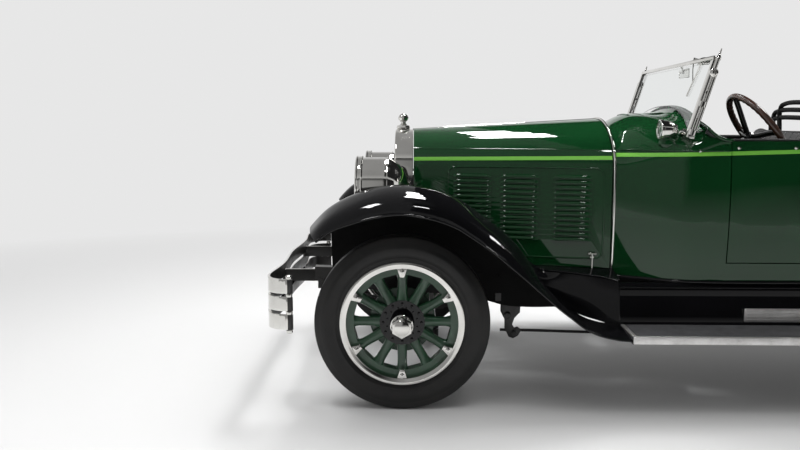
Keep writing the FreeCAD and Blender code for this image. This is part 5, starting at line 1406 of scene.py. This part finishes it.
def column_spot(along, angle=0.0, radius=0.0):
    """A place about the steering column; along runs up the column from the wheel's plane."""
    out = Vector((0, 1, 0)) * math.cos(angle) + COLUMN_UP * math.sin(angle)
    return place(*WHEEL_PLACE) + (COLUMN * along + out * radius) / 1000.0


def steering_rim():
    """Dark rim with finger grips on its inner side."""
    clear_selection()
    bpy.ops.mesh.primitive_torus_add(
        major_segments=240, minor_segments=16, major_radius=WHEEL_RADIUS, minor_radius=WHEEL_RIM
    )
    rim = bpy.context.active_object

    def grip(co):
        angle = math.atan2(co.y, co.x)
        core = Vector((math.cos(angle), math.sin(angle), 0.0)) * WHEEL_RADIUS
        out = co - core
        inside = max(0.0, -out.dot(core) / (WHEEL_RADIUS * WHEEL_RIM))
        return core + out * (1.0 + 0.13 * inside * math.cos(angle * FINGER_GRIPS))

    reshape(rim, grip)
    rim.rotation_mode = "QUATERNION"
    rim.rotation_quaternion = COLUMN.to_track_quat("Z", "Y")
    rim.location = place(*WHEEL_PLACE)
    settle(rim)
    dressed([rim], "steering_rim", "dark wood", "steering_wheel", angle=60)
    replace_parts(rim, "steering_wheel")


def column_turning(outline, steps=48):
    return lathe(outline, place(*WHEEL_PLACE), COLUMN, steps)


def steering_wheel_dressing():
    """Four spokes, boss, horn button and the two levers."""
    spoke = ((-50, 16), (-36, 70), (-14, 150), (-1, 203))
    spokes = [tube_through([column_spot(along, math.pi / 2 * k, radius) for along, radius in spoke], 13.0)
              for k in range(4)]
    boss = column_turning([(-72, 0), (-72, 30), (-64, 34), (-46, 34), (-40, 30), (-38, 22), (-38, 0)])
    dressed(spokes + [boss], "steering_spokes", "wing enamel", "steering_wheel", angle=50)
    pieces = [column_turning([(-39, 21), (-36, 23), (-33, 21), (-33, 17), (-39, 17)]),
              column_turning([(-39, 0), (-39, 14), (-29, 13), (-25, 9), (-24, 0)], 40)]
    for angle, reach in ((math.radians(205), 96), (math.radians(-18), 92)):
        tip = column_spot(-26, angle, reach)
        pieces.append(tube_through([column_spot(-34, angle, 10), column_spot(-30, angle, 50), tip], 2.8))
        pieces.append(lathe([(-11, 0), (-9, 6), (0, 8.5), (9, 6), (11, 0)], tip, COLUMN, 24))
    dressed(pieces, "steering_levers", "nickel plate", "steering_wheel", angle=50)


# The instrument board: places across it and radii of its dials, in millimetres
BOARD_FACE = Vector((-1, 0, 0.12)).normalized()
DIALS = ((0.0, 44.0), (112.0, 33.0), (-112.0, 33.0), (206.0, 26.0), (-206.0, 26.0))
SWITCHES = (-58.0, 58.0, 160.0, -160.0)
GEAR_LEVER = ((1395, 20, 612), (1440, 22, 760), (1520, 30, 930), (1552, 34, 985))
BRAKE_LEVER = ((1440, -60, 612), (1450, -60, 740), (1465, -60, 900))
PEDALS = (250.0, 385.0)
PEDAL_ARM = ((1190, 640), (1240, 700), (1268, 760))


def dashboard():
    """Panel with plain dials and switches."""
    panel = plate_from([(1358, 1190), (1364, 1190), (1368, 1310), (1362, 1310)], -330, 330)
    soften(panel, 3.0)
    dressed([panel], "instrument_board", "dark wood")
    bezels, faces = [], []
    for y, radius in DIALS:
        centre = place(1370, y, 1252)
        bezel = [(-4, 0), (-4, radius), (2, radius + 3), (6, radius + 1), (6, radius - 4), (1, radius - 5),
                 (0, 0)]
        card = [(1.5, 0), (1.5, radius - 4), (2.5, radius - 4), (2.5, 0)]
        bezels.append(lathe(bezel, centre, BOARD_FACE, 40))
        faces.append(lathe(card, centre, BOARD_FACE, 32))
    for y in SWITCHES:
        bezels.append(lathe([(0, 0), (0, 10), (4, 10), (5, 5), (18, 5), (20, 9), (27, 9), (29, 0)],
                            place(1370, y, 1212), BOARD_FACE, 20))
    dressed(bezels, "dial_bezels", "nickel plate")
    finish(join(faces), "dial_faces", "dial card")


def levers_and_pedals():
    """Gear lever with its ball and floor cup, handbrake lever and two pedals."""
    gear = tube_through([place(*spot) for spot in GEAR_LEVER], 7.0)
    brake = tube_through([place(*spot) for spot in BRAKE_LEVER], 7.5)
    ball = lathe([(-10, 0), (-14, 8), (0, 17), (13, 15), (21, 0)], place(1556, 35, 992), (-0.5, 0, 0.87), 24)
    cup = lathe([(0, 0), (0, 42), (8, 40), (26, 22), (32, 10), (32, 0)], place(1398, 20, 613), (0, 0, 1), 32)
    pieces = [gear, brake, ball, cup]
    for y in PEDALS:
        pieces.append(tube_through([place(behind, y, z) for behind, z in PEDAL_ARM], 7.0))
        pieces.append(block(place(1290, y - 34.0, 742), place(1278, y + 34.0, 806), 4.0))
    dressed(pieces, "levers_and_pedals", "chassis black", angle=50)


# Seats and top, in metres; cushions are (name, front and rear in millimetres behind the axle, bottom and top,
# rearward lean of the top, filling, node that it stands for)
CHANNEL_PITCH, CHANNEL_DEPTH, CHANNEL_SEAM = 0.075, 0.010, 0.12
SEAT_HALF, STUFFING_ROOM, CUSHION_EDGE = 0.534, 0.016, 28.0
CUSHIONS = (
    ("front_cushion", (1692, 2004), (0.782, 0.905), 0.0, 0.8, "front_seat"),
    ("front_backrest", (2006, 2108), (0.905, 1.305), 0.036, 0.75, None),
    ("rear_cushion", (2602, 3052), (0.842, 0.975), 0.0, 0.8, "rear_seat"),
    ("rear_backrest", (3052, 3190), (0.975, 1.298), 0.052, 0.75, None),
)
CLOTH_STEPS, CUSHION_GRAIN = 20, 0.014


def pleat(y):
    """Depth of the sewn channels across a seat."""
    share = (y / CHANNEL_PITCH) % 1.0
    return CHANNEL_DEPTH * (1.0 - min(1.0, share / CHANNEL_SEAM, (1.0 - share) / CHANNEL_SEAM)) ** 2


def swollen(piece, pressure, cap):
    """Swells a cushion like stuffed leather; no point moves past the cap, in millimetres."""
    take(piece)
    remesh = piece.modifiers.new("remesh", "REMESH")
    remesh.mode = "VOXEL"
    remesh.voxel_size = CUSHION_GRAIN
    bpy.ops.object.modifier_apply(modifier=remesh.name)
    start = [vertex.co.copy() for vertex in piece.data.vertices]
    scene = bpy.context.scene
    scene.frame_start, scene.frame_end = 1, CLOTH_STEPS
    scene.frame_set(1)
    cloth = piece.modifiers.new("cloth", "CLOTH")
    cloth.settings.use_pressure = True
    cloth.settings.uniform_pressure_force = pressure
    cloth.settings.quality = 4
    cloth.settings.effector_weights.gravity = 0.0
    cloth.point_cache.frame_start, cloth.point_cache.frame_end = 1, CLOTH_STEPS
    for number in range(1, CLOTH_STEPS + 1):
        scene.frame_set(number)
    bpy.ops.object.modifier_apply(modifier=cloth.name)
    scene.frame_set(1)
    for vertex, place_before in zip(piece.data.vertices, start):
        moved = vertex.co - place_before
        if moved.length > cap / 1000.0:
            vertex.co = place_before + moved.normalized() * cap / 1000.0
    return piece


def divided(piece):
    """Splits every face in four, rounded."""
    take(piece)
    divide = piece.modifiers.new("divide", "SUBSURF")
    divide.levels = divide.render_levels = 1
    bpy.ops.object.modifier_apply(modifier=divide.name)
    return piece


def seat_cushion(name, ends, heights, lean):
    """A stuffed, channelled cushion; lean carries the top of a backrest rearward."""
    front, rear = (place(behind, 0, 0).x for behind in ends)
    low, high = heights
    side = SEAT_HALF - STUFFING_ROOM
    body = block((rear + STUFFING_ROOM, -side, low + STUFFING_ROOM / 2),
                 (front - STUFFING_ROOM, side, high - STUFFING_ROOM), CUSHION_EDGE, 4)
    divided(swollen(body, 4.0, 24.0))
    middle_x = (front + rear) / 2

    def sew(co):
        up = (co.z - low) / (high - low)
        if lean:
            facing = max(0.0, min(1.0, (co.x - middle_x) / 0.03 + 0.5))
            return Vector((co.x - pleat(co.y) * facing - lean * up, co.y, co.z))
        return Vector((co.x, co.y, co.z - pleat(co.y) * max(0.0, min(1.0, (up - 0.55) / 0.25))))

    reshape(body, sew)
    dressed([body], name, "black leather", angle=50)
    return body


def seats():
    """Front and rear benches, each a cushion and a leaning back."""
    for name, ends, heights, lean, fill, node in CUSHIONS:
        made = seat_cushion(name, ends, heights, lean)
        if node:
            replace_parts(made, node)


# The lowered top: ends behind the axle in millimetres, heights and half width in metres
TOP_FRONT, TOP_REAR = 3290, 3735
TOP_LOW, TOP_HIGH, TOP_HALF = 1.245, 1.395, 0.575
STRAP_OUTLINE = ((3760, 1240), (3768, 1330), (3745, 1420), (3650, 1448), (3400, 1432), (3290, 1412),
                 (3262, 1350), (3262, 1240))
STRAP_Y = (-330.0, 330.0)


def top_bundle():
    """The lowered top: a soft bundle of folds that sags between its bows."""
    low_x, high_x = place(TOP_REAR, 0, 0).x, place(TOP_FRONT, 0, 0).x
    body = block((low_x, -TOP_HALF, TOP_LOW), (high_x, TOP_HALF, TOP_HIGH), 45.0, 5)
    divided(swollen(body, 5.0, 28.0))

    def fold(co):
        along = (co.x - low_x) / (high_x - low_x)
        up = (co.z - TOP_LOW) / (TOP_HIGH - TOP_LOW)
        edge = 1.0 if along < 0.06 or along > 0.94 else 0.35
        layers = 0.007 * math.sin(up * 19.0 + 1.6 * math.sin(co.y * 5.0)) * edge
        crease = 0.006 * math.sin(along * 24.0 + 2.2 * math.sin(co.y * 3.3)) * max(0.0, up)
        sag = 0.010 * math.cos(co.y * 7.0) * max(0.0, up)
        out = 1.0 if along > 0.5 else -1.0
        return Vector((co.x + out * layers, co.y, co.z + crease - sag + 0.022 * (1 - along)))

    reshape(body, fold)
    dressed([body], "lowered_top", "black top cloth", angle=60)
    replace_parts(body, "folded_top")


def top_straps():
    """Two leather straps round the lowered top, with their buckles."""
    straps, buckles = [], []
    for y in STRAP_Y:
        strap = tube_through([place(behind, y, z) for behind, z in STRAP_OUTLINE], 3.0, resolution=2)
        reshape(strap, lambda co: Vector((co.x, y / 1000 + (co.y - y / 1000) * 6.0, co.z)))
        straps.append(strap)
        buckles.append(block(place(3520, y - 24, 1436), place(3484, y + 24, 1452), 5.0))
    dressed(straps, "top_straps", "black leather", angle=60)
    dressed(buckles, "strap_buckles", "nickel plate")


# The leather roll's stretches along the body rail, and the robe rails' heights and half widths
RAIL_STRETCHES = (("car", 1402.0, 1503.0), ("door_front_SIDE", 1512.0, 2078.0), ("car", 2087.0, 2183.0),
                  ("door_rear_SIDE", 2192.0, 2758.0), ("car", 2767.0, 3250.0))
ROBE_RAILS = ((1330.0, 470.0), (1372.0, 440.0), (1412.0, 360.0))


def rail_spot(behind):
    """A place on the body rail, which rises to the cowl and draws in at the tail."""
    to_cowl, to_tail = max(0.0, 1500 - behind), max(0.0, behind - 2900.0)
    y = side_half(1224) - 26.0 - to_cowl * 0.12 - to_tail * 0.075
    return place(behind, y, 1226.0 + to_cowl**1.5 * 0.045)


def body_rail_roll():
    """Leather roll along the body rail, split at the door gaps."""
    for body, first, last in RAIL_STRETCHES:
        roll = tube_through([rail_spot(first + (last - first) * k / 6) for k in range(7)], 10.0)
        both([roll], "rail_roll_%d" % first, "black leather", body, angle=60)


def robe_rails():
    """Looped bars behind the front bench."""
    bars = []
    for rise, reach in ROBE_RAILS:
        left = [(2150, reach, 1262), (2152, reach, rise - 16), (2154, reach - 34, rise)]
        right = [(behind, -y, z) for behind, y, z in left]
        path = [place(*spot) for spot in right + [(2154, 0, rise + 3)] + left[::-1]]
        bars.append(tube_through(path, 13.0))
    dressed(bars, "robe_rails", "underseal", angle=60)


# Door linings: (door, its front and rear edge behind the axle, handle)
LINED_DOORS = (("front", 1505.0, 2085.0, 1590.0), ("rear", 2185.0, 2765.0, 2665.0))
LINING_INSET = 47.5


def lining_sheet(front, rear, low, high, columns, rows, inset_low, inset_high):
    """A net on the inner face of a door, between two edges and two heights."""
    y_low, y_high = side_half(low[0]) - inset_low, side_half(high[0]) - inset_high
    return grid([place(front, y_low, low[1]), place(rear, y_low, low[1]),
                 place(front, y_high, high[1]), place(rear, y_high, high[1])], columns, rows)


def door_linings():
    """Leather door cards with a pocket flap and the inside handle."""
    for name, front, rear, grip in LINED_DOORS:
        inset = LINING_INSET
        card = lining_sheet(front + 24, rear - 24, (700, 690), (1190, 1190), 30, 26, inset, inset)
        reshape(card, lambda co: Vector((co.x, (side_half(co.z * 1000) - inset) / 1000.0, co.z)))
        thicken(card, 5.0)
        face_outward(card)
        soften(card, 1.5, 2, 60)
        flap = lining_sheet(front + 70, rear - 90, (760, 745), (990, 985), 12, 10, 52, 54)
        thicken(flap, 6.0, 1.0)
        face_outward(flap)
        soften(flap, 2.0)
        both([card, flap], "door_card_" + name, "black leather", "door_%s_SIDE" % name)
        y = side_half(1120)
        plate = lathe([(0, 0), (0, 22), (5, 20), (8, 9), (24, 8), (26, 0)], place(grip, y - 50, 1120),
                      (0, -1, 0), 28)
        reach = ((0, 72, 1120), (34, 74, 1121), (78, 72, 1117))
        arm = tube_through([place(grip + along, y - inward, z) for along, inward, z in reach], 6.0)
        both([plate, arm], "door_handle_" + name, "nickel plate", "door_%s_SIDE" % name)


def floor_covers():
    """Rubber front mat and rear carpet."""
    front = block(place(1735, -530, 612.5), place(1430, 530, 618), 2.0, 1)
    rear = block(place(2604, -530, 612.5), place(2175, 530, 620), 3.0, 1)
    dressed([front, rear], "floor_covers", "running board rubber")


class CAR_OT_cockpit(bpy.types.Operator):
    """Builds the steering wheel, instruments, levers and seats"""

    bl_idname = "touring_car.cockpit"
    bl_label = "Dress cockpit"

    def execute(self, context):
        steering_rim()
        steering_wheel_dressing()
        dashboard()
        levers_and_pedals()
        seats()
        top_bundle()
        top_straps()
        body_rail_roll()
        robe_rails()
        door_linings()
        floor_covers()
        return {"FINISHED"}


# Sills and running gear
SILL_SHRINK = ((1024, 158), (1080, 122), (1140, 96), (1220, 56), (1290, 28), (1400, 8), (1505, 0),
               (2300, 0), (2788, 0))
DRUM_OUTLINES = {
    "rear": ((34, 66), (34, 150), (40, 158), (88, 158), (92, 150), (92, 144), (40, 144), (40, 66)),
    "front": ((34, 66), (34, 146), (38, 152), (56, 152), (60, 146), (60, 140), (40, 140), (40, 66)),
}
HANGER_OUTLINE = ((486, 474), (486, 372), (506, 330), (508, 284), (528, 240), (552, 232), (576, 246),
                  (592, 276), (572, 292), (556, 286), (546, 304), (556, 336), (584, 366), (586, 474))
BRAKE_RODS = (((485, 275), (700, 271), (900, 266), (1150, 262)), ((1150, 262), (1160, 300), (1162, 350)))
SPRING_SEATS = ((0.0, 372.0, 440.0), (3330.0, 490.0, 444.0))


def sill_mouldings():
    """Rounded black sill under the body and the bead on the apron's upper edge."""
    sill = tube_through([place(behind, side_half(570) - shrink + 2.0, 566)
                         for behind, shrink in SILL_SHRINK], 9.0)
    bead = tube_through([place(behind, 600.0, 541.0) for behind in (1020.0, 1900.0, 2788.0)], 5.0)
    both([sill, bead], "sill_moulding", "wing enamel", angle=60)


def plate_from(outline, y_0, y_1):
    """A flat plate cut to an outline of (behind, z), between two offsets from the centre."""
    clear_selection()
    bpy.ops.mesh.primitive_circle_add(vertices=len(outline), radius=0.1, fill_type="NGON")
    piece = bpy.context.active_object
    for vertex, (behind, z) in zip(piece.data.vertices, outline):
        vertex.co = place(behind, y_0, z)
    bpy.ops.object.mode_set(mode="EDIT")
    bpy.ops.mesh.select_all(action="SELECT")
    bpy.ops.mesh.extrude_region_move(TRANSFORM_OT_translate={"value": (0, (y_1 - y_0) / 1000.0, 0)})
    bpy.ops.object.mode_set(mode="OBJECT")
    return face_outward(piece)


def spring_clips():
    """U-bolts over each axle with their nuts."""
    pieces = []
    for behind, y, z in SPRING_SEATS:
        for offset in (-44, 44):
            for across in (-34, 34):
                pieces.append(prism(16, 7, 96, place(behind + offset, y + across, z), (0, 0, 1), 1.5))
                pieces.append(prism(6, 12, 10, place(behind + offset, y + across, z - 46), (0, 0, 1), 1.5))
    return pieces


def chassis_dressing():
    """Hangers with their pins, brake rods and spring clips."""
    hanger = plate_from(HANGER_OUTLINE, 372, 384)
    soften(hanger, 2.0)
    pins = [prism(20, radius, depth, place(behind, 378, z), OUTBOARD, 3.0)
            for radius, depth, behind, z in ((17, 46, 520, 352), (13, 40, 556, 262))]
    rods = [tube_through([place(behind, 376, z) for behind, z in path], 7.0) for path in BRAKE_RODS]
    both([hanger] + pins + rods + spring_clips(), "chassis_fittings", "chassis black")


def brake_drums():
    """A ribbed drum inside each wheel."""
    for name in WHEELS:
        centre = middle("tyre_" + name)
        inward = -1.0 if centre.y > 0 else 1.0
        drum = lathe(DRUM_OUTLINES[name.split("_")[0]], centre, (0, inward, 0), 64)
        dressed([drum], "brake_drum_" + name, "wheel enamel", "wheel_" + name)


class CAR_OT_chassis(bpy.types.Operator):
    """Builds sill mouldings and the small parts of the running gear"""

    bl_idname = "touring_car.chassis"
    bl_label = "Dress chassis"

    def execute(self, context):
        sill_mouldings()
        chassis_dressing()
        brake_drums()
        return {"FINISHED"}


# The stage, in metres: lights are (name, place, what each faces, size, watts, whether the paint reflects it)
CEILING_LEVEL, FLOOR_GREY = 0.3, 0.5
LIGHTS = (
    ("roof strip 1", (1.34, -0.95, 4.4), (1.2, -0.3, 0.8), (0.8, 0.24), 32.0, True),
    ("roof strip 2", (1.3, -1.4, 4.4), (1.2, -0.3, 0.8), (0.7, 0.24), 32.0, True),
    ("roof strip 3", (1.34, -1.85, 4.4), (1.2, -0.3, 0.8), (0.6, 0.24), 32.0, True),
    ("roof strip 4", (1.42, -2.4, 4.4), (1.2, -0.3, 0.8), (0.5, 0.24), 32.0, True),
    ("front roof light", (3.1, 0.9, 4.4), (2.0, 0.5, 0.8), (0.8, 0.5), 50.0, True),
    ("louvre light", (0.92, 2.1, 4.8), (1.0, 0.5, 1.0), (0.5, 0.2), 15.0, True),
    ("rear softbox", (-2.4, -0.6, 4.4), (-1.6, 0.0, 0.8), (1.2, 0.9), 70.0, True),
    ("left softbox", (7.5, 3.2, 3.4), (1.4, 0.4, 0.5), (5.0, 4.0), 22.0, False),
    ("overhead softbox", (1.5, -1.7, 4.9), (1.5, -1.7, 0.0), (7.0, 4.2), 360.0, False),
    ("floor lamp", (1.2, 3.4, 4.8), (1.2, 3.4, 0.0), (11.0, 4.0), 130.0, False),
)
FLOOR_LAMP_SPREAD = math.radians(80)
# Flags are (name, place, tilt, size)
FLAGS = (
    ("dark_flag", (0.0, 6.2, 2.2), math.radians(90), (17.0, 5.4)),
    ("ceiling_flag", (-7.3, -2.0, 5.2), 0.0, (17.0, 14.0)),
    ("cowl_flag", (0.52, -0.25, 2.25), 0.0, (1.04, 2.1)),
    ("joint_flag", (1.55, 0.64, 2.25), 0.0, (0.5, 0.4)),
)
CAMERA_PLACE = (1.7771, 4.2345, 1.3116)
CAMERA_FORWARD = Vector((0.02208, -0.99124, -0.13018))
LENS, SENSOR_WIDTH = 35.28, 36.0


def area_light(name, location, target, size, power, glossy):
    bpy.ops.object.light_add(type="AREA", location=location)
    lamp = bpy.context.active_object
    lamp.name = name
    lamp.data.shape = "RECTANGLE"
    lamp.data.size, lamp.data.size_y = size
    lamp.data.energy = power
    lamp.rotation_euler = (Vector(target) - Vector(location)).to_track_quat("-Z", "Y").to_euler()
    lamp.visible_glossy = glossy
    return lamp


def studio_world(backdrop):
    """Pale walls round the car under a dim ceiling."""
    world = bpy.data.worlds.new("studio")
    bpy.context.scene.world = world
    world.use_nodes = True
    tree = world.node_tree
    split = tree.nodes.new("ShaderNodeSeparateXYZ")
    tree.links.new(tree.nodes.new("ShaderNodeTexCoord").outputs["Generated"], split.inputs[0])
    level = spread(tree, split.outputs[2], 0.2, 0.75, backdrop, CEILING_LEVEL)
    colour = tree.nodes.new("ShaderNodeCombineColor")
    for k in range(3):
        tree.links.new(level, colour.inputs[k])
    tree.links.new(colour.outputs[0], tree.nodes["Background"].inputs["Color"])


def studio_floor(backdrop):
    """A pale floor that fades into the backdrop away from the car."""
    bpy.ops.mesh.primitive_plane_add(size=1.0, location=(0.0, -26.0, 0.0))
    floor = bpy.context.active_object
    floor.name = "studio_floor"
    floor.scale = (90.0, 64.0, 1.0)
    settle(floor)
    material, shader = base_material("studio floor", 0.35)
    shader.inputs["Base Color"].default_value = (FLOOR_GREY, FLOOR_GREY, FLOOR_GREY, 1.0)
    tree = material.node_tree
    split = tree.nodes.new("ShaderNodeSeparateXYZ")
    tree.links.new(coordinates(tree), split.inputs[0])
    along = maths(tree, "POWER", split.outputs[0], 2.0)
    across = maths(tree, "POWER", maths(tree, "MULTIPLY", split.outputs[1], 1.5), 2.0)
    far = spread(tree, maths(tree, "SQRT", maths(tree, "ADD", along, across)), 3.5, 9.0, 0.0, 1.0)
    rays = tree.nodes.new("ShaderNodeLightPath")
    seen = maths(tree, "MAXIMUM", rays.outputs["Is Camera Ray"], rays.outputs["Is Glossy Ray"])
    seen = maths(tree, "MAXIMUM", seen, rays.outputs["Is Transmission Ray"])
    glow = tree.nodes.new("ShaderNodeEmission")
    glow.inputs["Strength"].default_value = backdrop
    blend = tree.nodes.new("ShaderNodeMixShader")
    tree.links.new(maths(tree, "MULTIPLY", far, seen), blend.inputs[0])
    tree.links.new(shader.outputs[0], blend.inputs[1])
    tree.links.new(glow.outputs[0], blend.inputs[2])
    tree.links.new(blend.outputs[0], tree.nodes["Material Output"].inputs["Surface"])
    floor.data.materials.append(material)


def flag_cloth():
    """Cloth that is pale near the floor and ahead of the car, and dark elsewhere."""
    cloth = bpy.data.materials.new("flag cloth")
    cloth.use_nodes = True
    tree = cloth.node_tree
    tree.nodes.remove(tree.nodes["Principled BSDF"])
    glow = tree.nodes.new("ShaderNodeEmission")
    split = tree.nodes.new("ShaderNodeSeparateXYZ")
    tree.links.new(coordinates(tree), split.inputs[0])
    low = spread(tree, split.outputs[2], 0.0, 1.0, 0.5, 0.015)
    ahead = spread(tree, split.outputs[0], 1.0, 2.2, 0.0, 0.3)
    below_top = spread(tree, split.outputs[2], 3.4, 4.6, 1.0, 0.12)
    level = maths(tree, "MAXIMUM", low, maths(tree, "MULTIPLY", ahead, below_top))
    tree.links.new(level, glow.inputs["Strength"])
    tree.links.new(glow.outputs[0], tree.nodes["Material Output"].inputs["Surface"])
    return cloth


def dark_flag(name, location, tilt, size):
    """A cloth for the paint's reflections, which takes no light from the car."""
    bpy.ops.mesh.primitive_plane_add(size=1.0, location=location, rotation=(tilt, 0, 0))
    flag = bpy.context.active_object
    flag.name = name
    flag.scale = (size[0], size[1], 1.0)
    settle(flag)
    flag.data.materials.append(MATERIALS["flag cloth"])
    flag.visible_camera = False
    flag.visible_diffuse = False
    flag.visible_shadow = False


class CAR_OT_stage(bpy.types.Operator):
    """Sets the pale floor, the studio light and the camera"""

    bl_idname = "touring_car.stage"
    bl_label = "Set the stage"

    def execute(self, context):
        clear_selection()
        backdrop = settings().backdrop
        studio_floor(backdrop)
        MATERIALS["flag cloth"] = flag_cloth()
        for flag in FLAGS:
            dark_flag(*flag)
        studio_world(backdrop)
        for light in LIGHTS:
            lamp = area_light(*light)
        lamp.data.spread = FLOOR_LAMP_SPREAD
        bpy.ops.object.camera_add(location=CAMERA_PLACE)
        camera = bpy.context.active_object
        camera.rotation_euler = CAMERA_FORWARD.to_track_quat("-Z", "Y").to_euler()
        camera.data.lens = LENS
        camera.data.sensor_width = SENSOR_WIDTH
        context.scene.camera = camera
        context.scene.view_settings.view_transform = "Standard"
        return {"FINISHED"}


class CAR_PT_sidebar(bpy.types.Panel):
    bl_idname = "CAR_PT_sidebar"
    bl_label = "Touring Car"
    bl_space_type = "VIEW_3D"
    bl_region_type = "UI"
    bl_category = "Touring Car"

    def draw(self, context):
        values = context.scene.touring_car
        for name in ("paint", "wheel_paint", "stripe", "stripe_width", "black", "backdrop"):
            self.layout.prop(values, name)
        for operator in OPERATORS:
            self.layout.operator(operator.bl_idname)


OPERATORS = (
    CAR_OT_materials,
    CAR_OT_panels,
    CAR_OT_wheels,
    CAR_OT_trim,
    CAR_OT_edges,
    CAR_OT_glass,
    CAR_OT_cockpit,
    CAR_OT_chassis,
    CAR_OT_stage,
)
CLASSES = (TouringCarSettings,) + OPERATORS + (CAR_PT_sidebar,)


def register():
    for cls in CLASSES:
        bpy.utils.register_class(cls)
    bpy.types.Scene.touring_car = bpy.props.PointerProperty(type=TouringCarSettings)


def unregister():
    del bpy.types.Scene.touring_car
    for cls in reversed(CLASSES):
        bpy.utils.unregister_class(cls)


def corners(box):
    return [[float(v) for v in corner] for corner in box]


def main():
    register()
    for operator in OPERATORS:
        group, name = operator.bl_idname.split(".")
        getattr(getattr(bpy.ops, group), name)()


if __name__ == "__main__":
    main()
